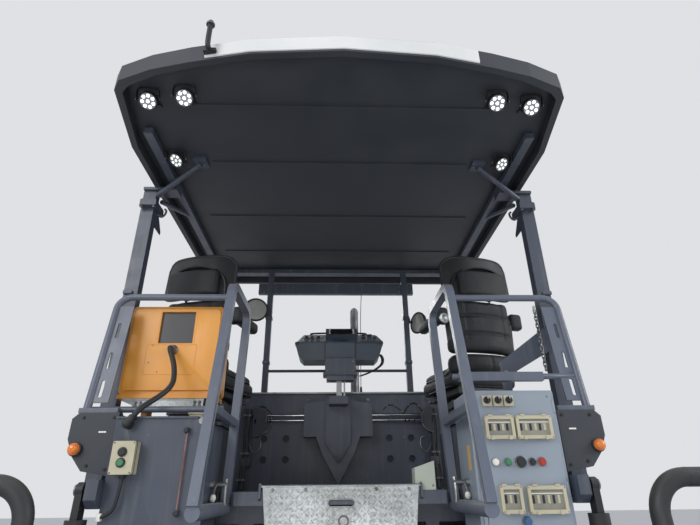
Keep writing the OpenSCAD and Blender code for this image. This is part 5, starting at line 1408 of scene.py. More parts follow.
    def posts(self) -> None:
        """Bolts and gussets of the posts, rail clamps, hooks and the chain."""
        piece = Piece("post_fittings", self.finishes)
        for s in (-1, 1):
            piece.fasten([(s * x, -2.002 + y, 3.4105) for x in (1.185, 1.262) for y in (-0.055, 0.055)], UP,
                0.011)
            piece.fasten([(s * x, -2.002 + y, 3.3695) for x in (1.185, 1.262) for y in (-0.055, 0.055)],
                DOWN, 0.011)
            piece.put(slab([(0, 0), (0.10, 0), (0.10, 0.02), (0.02, 0.11), (0, 0.11)], 0.006,
                (s * 1.196, -1.968, 3.262), AHEAD, UP), "slate_paint")
            piece.fasten([(s * 1.2752, -2.0 + y, z) for y in (-0.016, 0.016)
                for z in (1.83, 1.93, 2.20, 2.62)], (s, 0, 0), 0.009)
            hook = smooth([(s * 1.196, -1.968, 3.36), (s * 1.17, -1.95, 3.352), (s * 1.152, -1.945, 3.372),
                (s * 1.146, -1.945, 3.40), (s * 1.158, -1.945, 3.415)], 18)
            piece.put(swept(hook, 0.007, 8), "slate_paint")
            piece.fasten([(s * x, -2.235, 3.5705) for x in (0.845, 0.895)], DOWN, 0.007)
            for z in (2.7, 3.1):
                piece.put(pillow((s * 0.612 - 0.030, -0.632, z), (s * 0.612 + 0.030, -0.570, z + 0.03),
                    0.004, 2), "slate_paint")
                piece.fasten([(s * 0.612, -0.6322, z + 0.015)], REAR, 0.007)
            piece.fasten([(s * 0.612 + dx, -0.6203, z) for dx in (-0.055, 0.055) for z in (3.365, 3.42)],
                REAR, 0.009)
            clamp = pillow((s * 1.205 - 0.026, -2.142, 2.738), (s * 1.205 + 0.026, -2.108, 2.762), 0.004, 2)
            piece.put(clamp, "slate_paint")
        piece.fasten(row((-0.64, -0.6203, 3.43), (0.64, -0.6203, 3.43), 7), REAR, 0.006)
        piece.put(chain((1.103, -2.150, 2.64), (1.078, -2.215, 2.276), 0.0), "worn_steel")
        piece.put(lathe([(0, 0), (0.007, 0), (0.007, 0.03), (0, 0.03)], (1.103, -2.150, 2.632), UP, 12),
            "worn_steel")
        # Flat brace from the right mid rail up to the post
        plate = [(0.895, 2.16), (0.945, 2.16), (0.945, 2.292), (1.20, 2.432), (1.20, 2.578), (0.895, 2.363)]
        brace = slab(plate, 0.006, (0, -2.046, 0))
        piece.put(brace, "slate_paint")
        piece.fasten([(0.922, -2.0522, 2.305), (1.150, -2.0522, 2.475)], REAR, 0.010)
        piece.build("chassis", "worn_steel", 0.3)

    def mirrors(self) -> None:
        """Round mirrors: dished back, rubber rim, glass that looks rearwards."""
        piece = Piece("mirror_glasses", self.finishes)
        # Columns: side, place along X, height, turn in degrees, radius
        for side, x, z, turn, radius in ((-1, 0.722, 3.170, 12, 0.106), (1, 0.704, 3.050, 58, 0.096)):
            centre = np.array([side * x, -0.676, z])
            way = np.array([-math.sin(math.radians(side * turn)), -math.cos(math.radians(side * turn)), 0])
            rim = [(radius - 0.016, -0.001), (radius - 0.004, -0.001), (radius, 0.001),
                (radius + 0.001, 0.004), (radius - 0.004, 0.0065), (radius - 0.014, 0.0045)]
            piece.put(lathe(rim, centre, way, 48))
            dome = [(0, 0.0052), (radius * 0.5, 0.0042), (radius * 0.8, 0.0022), (radius - 0.012, 0.0004),
                (radius - 0.012, -0.0004), (0, -0.0004)]
            piece.put(lathe(dome, centre, way, 48), "mirror_glass")
        piece.build("chassis", "black_plastic", 0)

    def build(self) -> None:
        """Make all of it."""
        self.lamps()
        self.roof()
        self.posts()
        self.mirrors()


class Console(Assembly):
    """Display, switches, knobs, hose and aerial of the operator's console."""

    # Slope of the panel: its rise over its depth
    tilt = math.atan2(0.124, 0.232)

    def slope(self, x: float, up: float, out: float = 0.0) -> np.ndarray:
        """A point of the sloping panel: place along X, distance up the slope, distance off it."""
        c, s = math.cos(self.tilt), math.sin(self.tilt)
        return np.array([x, -1.022 + up * c - out * s, 2.781 + up * s + out * c])

    def build(self) -> None:
        """Make all of it."""
        self.coat("console_head", "console_blue", [], 3.0)
        self.coat("console_carriage", "slate_paint", [
            ("galvanised", (-0.02, -1.03, 2.359), (0.06, -0.97, 2.474))], 1.5)
        normal = (0, -math.sin(self.tilt), math.cos(self.tilt))
        up = (0, math.cos(self.tilt), math.sin(self.tilt))
        piece = Piece("console_controls", self.finishes)
        # Columns: place along X, distance up the slope, radius of each knob
        for x, d, r in ((0.205, 0.060, 0.011), (0.248, 0.070, 0.016), (0.292, 0.060, 0.012),
                (0.205, 0.150, 0.011), (0.262, 0.150, 0.011), (-0.160, 0.080, 0.011),
                (-0.210, 0.080, 0.011), (-0.255, 0.080, 0.011)):
            piece.put(lathe([(r + 0.001, 0), (r + 0.006, 0), (r + 0.005, 0.004), (r + 0.001, 0.005)],
                self.slope(x, d), normal, 20), "worn_steel")
            tall = 0.034 if r > 0.015 else 0.02
            piece.put(lathe([(0, tall - 0.003), (r * 1.25, tall - 0.003), (r * 1.3, tall + 0.004),
                (r, tall + 0.008), (0, tall + 0.009)], self.slope(x, d), normal, 20))
        for x in np.arange(-0.27, -0.13, 0.034):
            for d in (0.135, 0.175):
                centre = self.slope(x, d)
                piece.put(slab(round_rect(0.022, 0.024, 0.004), 0.006, centre - np.array(normal) * 0.001,
                    RIGHT, up), "dark_gloss")
        # Display and its hood on the middle box, whose top lies 14 degrees steeper
        steep = self.tilt + math.radians(14)
        face_up = np.array([0, math.cos(steep), math.sin(steep)])
        face_out = np.array([0, -math.sin(steep), math.cos(steep)])
        centre = np.array([0.026, -1.0, 2.791]) + face_up * 0.060 + face_out * 0.052
        piece.put(slab(round_rect(0.215, 0.104, 0.008), 0.004, centre - face_out * 0.001, RIGHT, face_up))
        piece.put(slab(round_rect(0.165, 0.086, 0.004), 0.0012, centre + face_out * 0.0028, RIGHT, face_up),
            "display_glass")
        keys = [centre + np.array([x, 0, 0]) + face_up * d + face_out * 0.0028 for x in (-0.095, 0.095)
            for d in (-0.036, -0.012, 0.012, 0.036)]
        key = pillow((-0.006, -0.006, 0), (0.006, 0.006, 0.0025), 0.001, 2)
        piece.put(copies(key, keys, np.stack([RIGHT, face_up, face_out], axis=1)), "white_plastic")
        # Wires and connector in front of the display's foot
        for x in (-0.03, 0.0, 0.03, 0.055):
            line = smooth([(x, -1.036, 2.765), (x + 0.004, -1.046, 2.778), (x + 0.010, -1.040, 2.792),
                (x + 0.016, -1.016, 2.800)], 12)
            piece.put(swept(line, 0.0032, 6))
        piece.put(pillow((-0.052, -1.040, 2.768), (-0.012, -1.026, 2.778), 0.002, 2), "worn_steel")
        piece.put(pillow((0.062, -1.040, 2.768), (0.098, -1.026, 2.778), 0.002, 2), "worn_steel")
        for x in (-0.338, 0.352):
            s = math.copysign(1, x)
            piece.fasten([(x - s * 0.004, -0.97, 2.765)], (s, 0, 0), 0.007)
            piece.put(pillow((min(x, x - s * 0.03), -1.034, 2.756), (max(x, x - s * 0.03), -1.026, 2.774),
                0.0025, 2), "dark_moulding")
        # Seams of the middle facet
        for x in (0.014 - 0.1165, 0.014 + 0.1165):
            line = [(x, -1.0108, 2.643), (x, -1.0445, 2.757), (x, -1.0445, 2.770)]
            piece.put(swept(line, 0.0022, 6))
        piece.fasten([(x, -1.0577, z) for x in (-0.085, 0.113) for z in (2.545, 2.615)], REAR, 0.006, False)
        piece.fasten([(x, y, 2.5232) for x in (-0.107, 0.135) for y in (-1.055, -0.945)], UP, 0.008)
        # Coiled hose from the right end, down and back to the bracket
        t = np.linspace(0, 1, 420)
        spine = smooth([(0.335, -0.93, 2.700), (0.352, -0.93, 2.668), (0.345, -0.93, 2.625),
            (0.300, -0.94, 2.585), (0.236, -0.96, 2.548), (0.165, -0.97, 2.520)], 420)
        turns = 2 * np.pi * 30 * t
        coil = spine + np.stack([np.cos(turns) * 0.010, np.sin(turns) * 0.010, np.zeros(420)], axis=-1)
        piece.put(swept(coil, 0.0034, 6))
        # Grab bar behind the panel
        bar = smooth([(-0.22, -0.78, 2.86), (-0.22, -0.765, 2.905), (-0.19, -0.765, 2.925),
            (0.20, -0.765, 2.925), (0.23, -0.765, 2.905), (0.23, -0.78, 2.86)], 40)
        piece.put(swept(bar, 0.008, 10))
        piece.build("console", "dark_moulding", 0.3)
        aerial = Piece("aerial", self.finishes)
        foot = (0.19, -0.70, 2.437)
        aerial.put(lathe([(0, 0), (0.020, 0), (0.020, 0.006), (0.011, 0.014), (0.008, 0.05), (0.006, 0.055),
            (0, 0.055)], foot, UP, 18))
        aerial.put(swept(smooth([(0.19, -0.70, 2.49), (0.194, -0.70, 2.9), (0.204, -0.703, 3.22),
            (0.22, -0.706, 3.42)], 16), 0.003, 6), "worn_steel")
        aerial.build("chassis", "worn_steel")


@dataclass
class Passage(Assembly):
    """What shows between the cabinets: rails, wall, latches, hoses and small covers.

    Attributes:
        wall: Place along Y of the front wall's rear face.
    """

    wall: float = -0.75

    def coats(self) -> None:
        """Paint of the rails and platform; zinc on the wall's cap, chrome on its slide rails, black plastic
        on a block under the deck.
        """
        wall = self.wall
        zones = [("galvanised", (-1.04, wall - 0.03, 2.4252), (1.04, wall + 0.04, 2.44)),
                 ("chromed_rod", (-0.548, wall - 0.06, 2.20), (0.649, wall - 0.03, 2.27)),
                 ("black_plastic", (-0.48, -1.78, 1.045), (0.48, -1.28, 1.70))]
        self.coat("platform", "slate_paint", zones, 2.0)
        for node in ("entry_frames", "handrails"):
            self.coat(node, "rail_paint")
        self.coat("seat_stands", "dark_moulding", [], 2.0)

    def front_wall(self) -> None:
        """Ribs, plugs and bolts of the wall, clamps of the lower slide rail, clipped leads."""
        y = self.wall
        piece = Piece("wall_fittings", self.finishes)
        for x in (-0.66, -0.49, -0.31, 0.31, 0.49, 0.66):
            piece.put(slab([(-0.004, 0), (0.004, 0), (0.004, 0.36), (-0.004, 0.36)], 0.002,
                (x, y + 0.0005, 1.80)), "slate_paint")
        rim = [(0.0255, 0.002), (0.0255, -0.004), (0.034, -0.004), (0.034, 0.0003), (0.0255, 0.002)]
        places = [(x, y - 0.0003, z) for x in (-0.57, -0.40, 0.40, 0.57) for z in (1.938, 2.088)]
        piece.put(copies(lathe(rim, axis=AHEAD, steps=20), places), "slate_paint")
        cup = [(0, 0.012), (0.0255, 0.012), (0.0255, 0.016), (0, 0.016)]
        piece.put(copies(lathe(cup, axis=AHEAD, steps=20), places))
        piece.fasten([(0.515, y, 2.09), *row((-0.96, y, 2.38), (0.96, y, 2.38), 9)], REAR, 0.009)
        ring = [(0.0095, -0.006), (0.0125, -0.006), (0.0125, 0.006), (0.0095, 0.006), (0.0095, -0.006)]
        clamps = [(x, y - 0.045, 2.217) for x in (-0.545, -0.525, 0.525, 0.555, 0.60)]
        piece.put(copies(lathe(ring, axis=RIGHT, steps=14), clamps))
        # Leads clipped to the wall: points in its plane
        for points, radius in ((((0.36, 2.30), (0.40, 2.335), (0.45, 2.332), (0.50, 2.295), (0.52, 2.272)),
                0.004), (((0.52, 2.272), (0.57, 2.335), (0.62, 2.350), (0.66, 2.310), (0.70, 2.262),
                (0.72, 2.18)), 0.005), (((-0.52, 2.262), (-0.57, 2.320), (-0.62, 2.325), (-0.67, 2.26),
                (-0.70, 2.17)), 0.005)):
            line = smooth([(x, y - radius + 0.0005, z) for x, z in points], 30)
            piece.put(swept(line, radius, 8))
            clips = [pillow(line[k] - (0.008, 0.002, 0.004), line[k] + (0.008, radius + 0.001, 0.004),
                0.001, 2) for k in (6, 15, 24)]
            piece.put(joined(clips), "beige_plastic")
        # Bowed guards at both ends of the slide: side, inner and outer place along X, low and high
        for side, inner, outer, low, high in ((-1, 0.515, 0.660, 2.105, 2.322),
                (1, 0.655, 0.745, 2.13, 2.315)):
            a = np.linspace(-0.5 * np.pi, 0.5 * np.pi, 17)
            half = (high - low) / 2
            bow = np.column_stack([outer - (outer - inner) * np.cos(a), low + half * (1 + np.sin(a))])
            bow[:, 0] *= side
            plate = bow if side < 0 else bow[::-1]
            piece.put(slab(plate, 0.003, (0, y - 0.035, 0)), "dark_moulding")
            edge = np.column_stack([bow[:, 0], np.full(17, y - 0.034), bow[:, 1]])
            piece.put(swept(edge, 0.005, 8), "worn_steel")
            foot = (side * (outer - 0.01), y - 0.038, (low + high) / 2 - 0.02)
            piece.put(pillow(foot, np.add(foot, (0.016, 0.038, 0.04)), 0.002, 2), "slate_paint")
        piece.build("chassis", "slate_paint", 0.3)

    def hoses(self) -> None:
        """Sheathed hoses clamped upright on the wall's ends, with their bent stays."""
        piece = Piece("wall_hoses", self.finishes)
        y = self.wall - 0.020
        for side, x in ((-1, 0.690), (1, 0.735)):
            for shift, radius in ((0.0, 0.013), (0.034, 0.010)):
                line = smooth([(side * (x + shift), y, 2.31), (side * (x + shift + 0.006), y - 0.004, 2.15),
                    (side * (x + shift), y, 1.99), (side * (x + shift + 0.012), y - 0.004, 1.86),
                    (side * (x + shift + 0.02), y, 1.735)], 40)
                piece.put(swept(line, radius, 12))
                for z in (2.26, 1.99, 1.80):
                    k = int(np.abs(line[:, 2] - z).argmin())
                    piece.put(pillow(line[k] - (radius + 0.003, radius + 0.003, 0.008),
                        line[k] + (radius + 0.003, 0.021, 0.008), 0.003, 3), "worn_steel")
            stay = smooth([(side * (x - 0.012), y - 0.012, 2.05), (side * (x - 0.06), y - 0.03, 1.985),
                (side * (x - 0.10), y - 0.03, 2.02), (side * (x - 0.095), y - 0.012, 2.085),
                (side * (x - 0.05), y + 0.018, 2.10)], 30)
            piece.put(swept(stay, 0.004, 8), "worn_steel")
            sleeve = pillow((side * x - 0.035, y - 0.018, 1.885), (side * x + 0.035, y + 0.018, 1.955),
                0.014, 4)
            piece.put(sleeve, "dark_moulding")
        piece.build("chassis", "black_plastic", 0)

    def latches(self) -> None:
        """Spring latches with white knobs between the tubes of the entry frames, blank label, caps."""
        piece = Piece("latches", self.finishes)
        for side in (-1, 1):
            x = side * 0.581
            piece.put(swept([(side * 0.60, -2.20, 1.752), (side * 0.535, -2.20, 1.752)], 0.0115, 16),
                "worn_steel")
            piece.put(lathe([(0, 0), (0.017, 0), (0.017, 0.018), (0.012, 0.022), (0, 0.022)],
                (side * 0.596, -2.20, 1.752), (side, 0, 0), 18), "galvanised")
            arm = smooth([(x, -2.212, 1.752), (x + side * 0.006, -2.222, 1.735),
                (x + side * 0.010, -2.224, 1.706)], 12)
            piece.put(swept(arm, 0.006, 10), "worn_steel")
            knob = [(0, 0), (0.009, 0.002), (0.0135, 0.012), (0.0135, 0.022), (0.008, 0.031), (0, 0.033)]
            piece.put(lathe(knob, (x + side * 0.010, -2.224, 1.712), DOWN, 16), "white_plastic")
            piece.put(swept(smooth([(side * 0.541, -2.195, 1.775), (side * 0.541, -2.21, 1.72),
                (side * 0.541, -2.20, 1.665)], 10), 0.008, 8), "galvanised")
        # Blank amber label on the inner side of the switch cabinet
        piece.put(pillow((0.6092, -2.275, 1.800), (0.6105, -2.228, 1.912), 0.0003, 2), "yellow_label")
        # Pale cover on the deck beside the passage
        cover = [(0, 0), (0.10, 0), (0.10, 0.132), (0.0, 0.100)]
        piece.put(slab(cover, 0.095, (0.366, -2.02, 1.7205)), "pale_cover")
        piece.fasten([(0.38, -2.1155, 1.74), (0.452, -2.1155, 1.74)], REAR, 0.005, False)
        # Filler cap on the left cabinet
        cap = [(0, 0), (0.034, 0), (0.034, 0.045), (0.040, 0.046), (0.040, 0.074), (0.034, 0.082), (0, 0.084)]
        piece.put(lathe(cap, (-0.746, -2.10, 2.036), UP, 28), "beige_plastic")
        piece.build("chassis", "worn_steel", 0.5)

    def deck(self) -> None:
        """Checker bars on the deck and on the steps."""
        piece = Piece("deck_bars", self.finishes)
        piece.put(lozenges((-0.52, -2.04, 1.7203), RIGHT, AHEAD, (1.04, 1.24), 42), "slate_paint")
        for z, y in ((1.176, -2.285), (1.426, -2.16)):
            piece.put(lozenges((-0.27, y, z), RIGHT, AHEAD, (0.54, 0.13), 30), "slate_paint")
        piece.build("chassis", "slate_paint")

    def build(self) -> None:
        """Make all of it."""
        self.coats()
        self.front_wall()
        self.hoses()
        self.latches()
        self.deck()


class Wheels(Assembly):
    """Tyres, rims and nuts of the driven and of the steered wheels."""

    def rear(self, side: Side) -> None:
        """One driven wheel: carcass with raised rings, sloping lugs, rim with its nuts and valve."""
        s = side.value
        centre = (s * 0.845, -0.85, 0.64)
        # Radius and distance from the middle plane, from the bead to the tread
        wall = [(0.360, -0.155), (0.374, -0.160), (0.380, -0.172), (0.392, -0.176), (0.400, -0.186),
            (0.440, -0.1935), (0.452, -0.1935), (0.456, -0.195), (0.500, -0.195), (0.504, -0.1935),
            (0.545, -0.1925), (0.585, -0.182), (0.606, -0.162), (0.618, -0.134)]
        profile = wall + [(r, -h) for r, h in wall[::-1]]
        tyre = Piece(f"{side.word}_rear_tread", self.finishes)
        tyre.put(lathe(profile + profile[:1], centre, RIGHT, 96), "tyre_rubber")
        # A lug across and up, from the middle plane over the shoulder
        lug = [(0.006, 0.604), (0.006, 0.637), (0.030, 0.6395), (0.148, 0.6385), (0.172, 0.629),
            (0.186, 0.596), (0.1895, 0.556), (0.180, 0.550), (0.160, 0.590)]
        for way in (-1, 1):
            points, faces = slab([(way * a, b) for a, b in lug], 0.052, (0, 0.026, 0))
            points = points + np.outer(0.22 * (np.abs(points[:, 0]) - 0.09), AHEAD)
            shift = 0.0 if way < 0 else 7.5
            turns = np.stack([about_x(15.0 * k + shift) for k in range(24)])
            tyre.put(copies((points, faces), np.repeat([centre], 24, axis=0), turns), "tyre_rubber")
        tyre.build(f"{side.word}_drive_wheel", "tyre_rubber", 3.0, 30, stands_for=[f"rear_tyre_{side.word}"])
        self.coat(f"rear_rim_{side.word}", "rim_paint", [], 3.0)
        nuts = Piece(f"{side.word}_rear_nuts", self.finishes)
        face = centre[0] + s * 0.106
        ring = around((face, *centre[1:]), 0.135, 10)
        nuts.fasten(ring, (s, 0, 0), 0.015)
        hub = around((face + s * 0.004, *centre[1:]), 0.055, 6)
        nuts.fasten(hub, (s, 0, 0), 0.007)
        nuts.put(lathe([(0, 0), (0.032, 0), (0.030, 0.010), (0.010, 0.013), (0, 0.013)],
            (centre[0] + s * 0.1098, *centre[1:]), (s, 0, 0), 28), "rim_paint")
        nuts.put(lathe([(0, 0), (0.007, 0), (0.0055, 0.03), (0.0065, 0.031), (0.0065, 0.045), (0, 0.046)],
                       (centre[0] + s * 0.04, centre[1] + 0.26, centre[2] + 0.10), (s, 0.1, 0), 12))
        nuts.build(f"{side.word}_drive_wheel", "worn_steel", 0.4)

    def front(self, side: Side, place: str, y: float) -> None:
        """One steered wheel: solid tyre with three grooves, dished rim, nuts."""
        s = side.value
        foot = (s * 0.740, y, 0.28)
        half = [(0.1690, 0.003), (0.180, 0.0), (0.190, 0.003), (0.200, 0.0), (0.232, 0.0), (0.262, 0.007),
            (0.275, 0.018), (0.280, 0.032)]
        groove = [(0.280, -0.006), (0.272, -0.0045), (0.272, 0.0045), (0.280, 0.006)]
        tread = [(r, c + h) for c in (0.078, 0.125, 0.172) for r, h in groove]
        profile = half + tread + [(r, 0.25 - h) for r, h in half[::-1]]
        wheel = Piece(f"{side.word}_{place}_steered", self.finishes)
        wheel.put(lathe(profile + profile[:1], foot, (s, 0, 0), 72), "tyre_rubber")
        rim = [(0, 0.040), (0.040, 0.040), (0.040, 0.0), (0.142, 0.0), (0.145, -0.001), (0.170, -0.001),
            (0.170, 0.251), (0.163, 0.251), (0.158, 0.246), (0.157, 0.120), (0.150, 0.094), (0.118, 0.078),
            (0.082, 0.072), (0.080, 0.076), (0.080, 0.114), (0.075, 0.120), (0, 0.120)]
        wheel.put(lathe(rim, foot, (s, 0, 0), 56), "rim_paint")
        at = foot[0] + s * 0.0795
        nuts = around((at, y, 0.28), 0.106, 8)
        wheel.fasten(nuts, (s, 0, 0), 0.011)
        wheel.fasten(around((foot[0] + s * 0.12, y, 0.28), 0.055, 5),
                         (s, 0, 0), 0.006)
        wheel.build(f"{place}_{side.word}_wheel", "tyre_rubber", 0, 30,
            stands_for=[f"front_wheel_{place}_{side.word}"])

    def build(self) -> None:
        """Make all six."""
        for side in Side:
            self.rear(side)
            for place, y in (("front", 1.97), ("rear", 1.27)):
                self.front(side, place, y)


@dataclass
class Tractor(Assembly):
    """Grilles, seams, latches and bolts of the engine's cowl and lid.

    Attributes:
        half: Distance of the cowl's side from the centre plane.
        front: Place along Y of the cowl's front.
    """

    half: float = 0.980
    front: float = 1.010

    def side(self, s: int) -> Piece:
        """Backing plates, louvre blades, door seams, handles and bolts of one side."""
        piece = Piece(f"cowl_side_{'right' if s > 0 else 'left'}", self.finishes)
        x = s * self.half
        piece.put(slab([(-0.14, 1.475), (0.88, 1.475), (0.88, 1.985), (-0.14, 1.985)], 0.004,
            (s * 0.962, 0, 0), AHEAD, UP))
        # A blade leans out of its slot
        blade = [(s * 0.9690, -0.006), (s * 0.9775, 0.020), (s * 0.9785, 0.0275), (s * 0.9765, 0.0275),
            (s * 0.9755, 0.021), (s * 0.9670, -0.004)]
        for y in (-0.12, 0.23, 0.58):
            one = slab(blade, 0.280, (0, y + 0.28, 0))
            piece.put(copies(one, [(0, 0, 1.50 + 0.048 * k) for k in range(10)]), "slate_paint")
            outline = round_rect(0.325, 0.56, 0.02) + (y + 0.14, 1.735)
            seam = np.column_stack([np.full(len(outline), x + s * 0.0003), outline])
            piece.put(swept(seam, 0.0018, 6, True))
            piece.fasten([(x, y + 0.14 + a, 1.735 + b) for a in (-0.145, 0.145) for b in (-0.262, 0.262)],
                (s, 0, 0), 0.008)
            low, high = sorted((x + s * 0.0002, x + s * 0.009))
            piece.put(pillow((low, y + 0.115, 1.462), (high, y + 0.165, 1.488), 0.003, 3))
        for y, z0, z1 in ((0.94, 1.12, 2.10), (-0.165, 1.46, 2.10)):
            piece.fasten(row((x, y, z0), (x, y, z1), 6), (s, 0, 0), 0.008)
        piece.put(swept([(x + s * 0.0003, -0.16, 1.42), (x + s * 0.0003, 0.98, 1.42)], 0.0018, 6))
        # Grab handle by the steps of the hopper
        bar = smooth([(x, 0.96, 1.16), (x + s * 0.045, 0.96, 1.17), (x + s * 0.05, 0.96, 1.28),
            (x + s * 0.045, 0.96, 1.39), (x, 0.96, 1.40)], 28)
        piece.put(swept(bar, 0.010, 10), "rail_paint")
        return piece

    def nose(self) -> None:
        """Core behind the front slots, frame of the grille, bolts and two round housings with glass lenses.
        """
        piece = Piece("cowl_nose", self.finishes)
        y = self.front
        piece.put(slab([(-0.45, 1.47), (0.45, 1.47), (0.45, 2.05), (-0.45, 2.05)], 0.004, (0, y - 0.030, 0)))
        fin = pillow((-0.0012, -0.004, 1.48), (0.0012, 0.006, 2.045), 0.0006, 2)
        piece.put(copies(fin, [(x, y - 0.026, 0) for x in np.linspace(-0.43, 0.43, 44)]), "worn_steel")
        outline = round_rect(0.93, 0.64, 0.03) + (0, 1.76)
        frame = upright(outline, y + 0.0004)
        piece.put(swept(frame, 0.006, 8, True), "slate_paint")
        piece.fasten([(x, y, z) for x in (-0.455, 0.455) for z in (1.46, 1.66, 1.86, 2.06)], AHEAD, 0.009)
        piece.fasten(row((-0.93, y, 1.10), (0.93, y, 1.10), 10), AHEAD, 0.008)
        for x in (-0.86, 0.86):
            piece.put(lathe([(0, 0), (0.050, 0), (0.050, 0.018), (0.044, 0.026), (0, 0.026)],
                (x, y - 0.0005, 1.93), AHEAD, 32))
            piece.put(lathe([(0, 0), (0.041, 0), (0.040, 0.004), (0.020, 0.009), (0, 0.010)],
                (x, y + 0.023, 1.93), AHEAD, 32), "mirror_glass")
        piece.build("chassis", "worn_steel", 0.4)

    def lid(self) -> None:
        """Latches, stiffening beads, bolts and the handle of the hood lid."""
        piece = Piece("lid_fittings", self.finishes)
        y = self.front + 0.012
        for x in (-0.62, 0.62):
            piece.put(pillow((x - 0.045, y - 0.001, 2.156), (x + 0.045, y + 0.012, 2.186), 0.004, 3))
            piece.put(pillow((x - 0.030, y + 0.011, 2.160), (x + 0.030, y + 0.018, 2.172), 0.003, 3),
                "worn_steel")
        for x in (-0.42, 0.0, 0.42):
            piece.put(pillow((x - 0.012, 0.36, 2.205), (x + 0.012, 0.84, 2.214), 0.003, 3), "slate_paint")
        piece.fasten([(x, yy, 2.1923) for x in (-0.90, 0.90) for yy in (0.25, 0.60, 0.95)], UP, 0.008)
        handle = smooth([(-0.08, y - 0.01, 2.19), (-0.08, y + 0.018, 2.202), (0.08, y + 0.018, 2.202),
            (0.08, y - 0.01, 2.19)], 20)
        piece.put(swept(handle, 0.006, 8))
        piece.build("hood", "black_plastic", 0.4)

    def build(self) -> None:
        """Make all of it."""
        for s in (-1, 1):
            self.side(s).build("chassis", "slate_paint", 0)
        self.nose()
        self.lid()
        self.coat("engine_cowl", "slate_paint", [], 2.0)


@dataclass
class Hopper(Assembly):
    """Worn liners, bolts and rubber of the receiving hopper.

    Attributes:
        fold: Degrees that a wing's floor stands above level.
    """

    fold: float = 52.0

    def wing(self, side: Side) -> None:
        """Liner plates of one wing's floor and wall, and their bolts."""
        s = side.value
        piece = Piece(f"{side.word}_wing_liners", self.finishes)

        def axes(degrees: float) -> tuple[np.ndarray, np.ndarray]:
            """Directions along a plate and out of its inner face."""
            a = math.radians(degrees)
            return np.array([s * math.cos(a), 0, math.sin(a)]), np.array([-s * math.sin(a), 0, math.cos(a)])

        along, off = axes(self.fold)
        start = np.array([s * 0.565, 0, 0.64])
        corner = start + along * 0.889
        for base, (u, n), low, high, thick in ((start, (along, off), 0.045, 0.845, 0.011),
                (corner, axes(self.fold + 80), 0.035, 0.372, 0.011)):
            outline = [(1.105, low), (2.880, low), (2.880, high), (1.105, high)]
            lift = thick + (0.0032 if s > 0 else 0.0002)
            piece.put(slab(outline, 0.003, base + n * lift, AHEAD, u), "worn_steel")
            heads = [base + u * h + n * (thick + 0.003) + (0, y, 0) for y in np.linspace(1.15, 2.83, 8)
                for h in (low + 0.03, high - 0.03)]
            piece.put(screws(heads, n, 0.010, False), "slate_paint")
        piece.build(f"{side.word}_wing", "worn_steel", 0)

    def front(self) -> None:
        """Rubber flap on the apron and grease points on the push rollers."""
        piece = Piece("apron_rubber", self.finishes)
        a = math.radians(-20)
        up, out = np.array([0, math.sin(-a), math.cos(a)]), np.array([0, math.cos(a), math.sin(a)])
        foot = np.array([0, 2.880, 0.7153])
        rubber = slab([(-0.47, 0.205), (0.47, 0.205), (0.47, 0.302), (-0.47, 0.302)], 0.004,
            foot - out * 0.0083, RIGHT, up)
        piece.put(rubber)
        piece.build("apron", "black_plastic", 0)
        rings = Piece("roller_rings", self.finishes)
        collar = [(0.019, 0), (0.040, 0), (0.040, 0.010), (0.019, 0.010), (0.019, 0)]
        rings.put(copies(lathe(collar, axis=RIGHT, steps=28), [(x, 3.23, 0.59) for x in (-0.872, 0.862)]),
            "worn_steel")
        rings.build("rollers", "worn_steel")

    def build(self) -> None:
        """Make all of it."""
        for side in Side:
            self.wing(side)
        self.front()


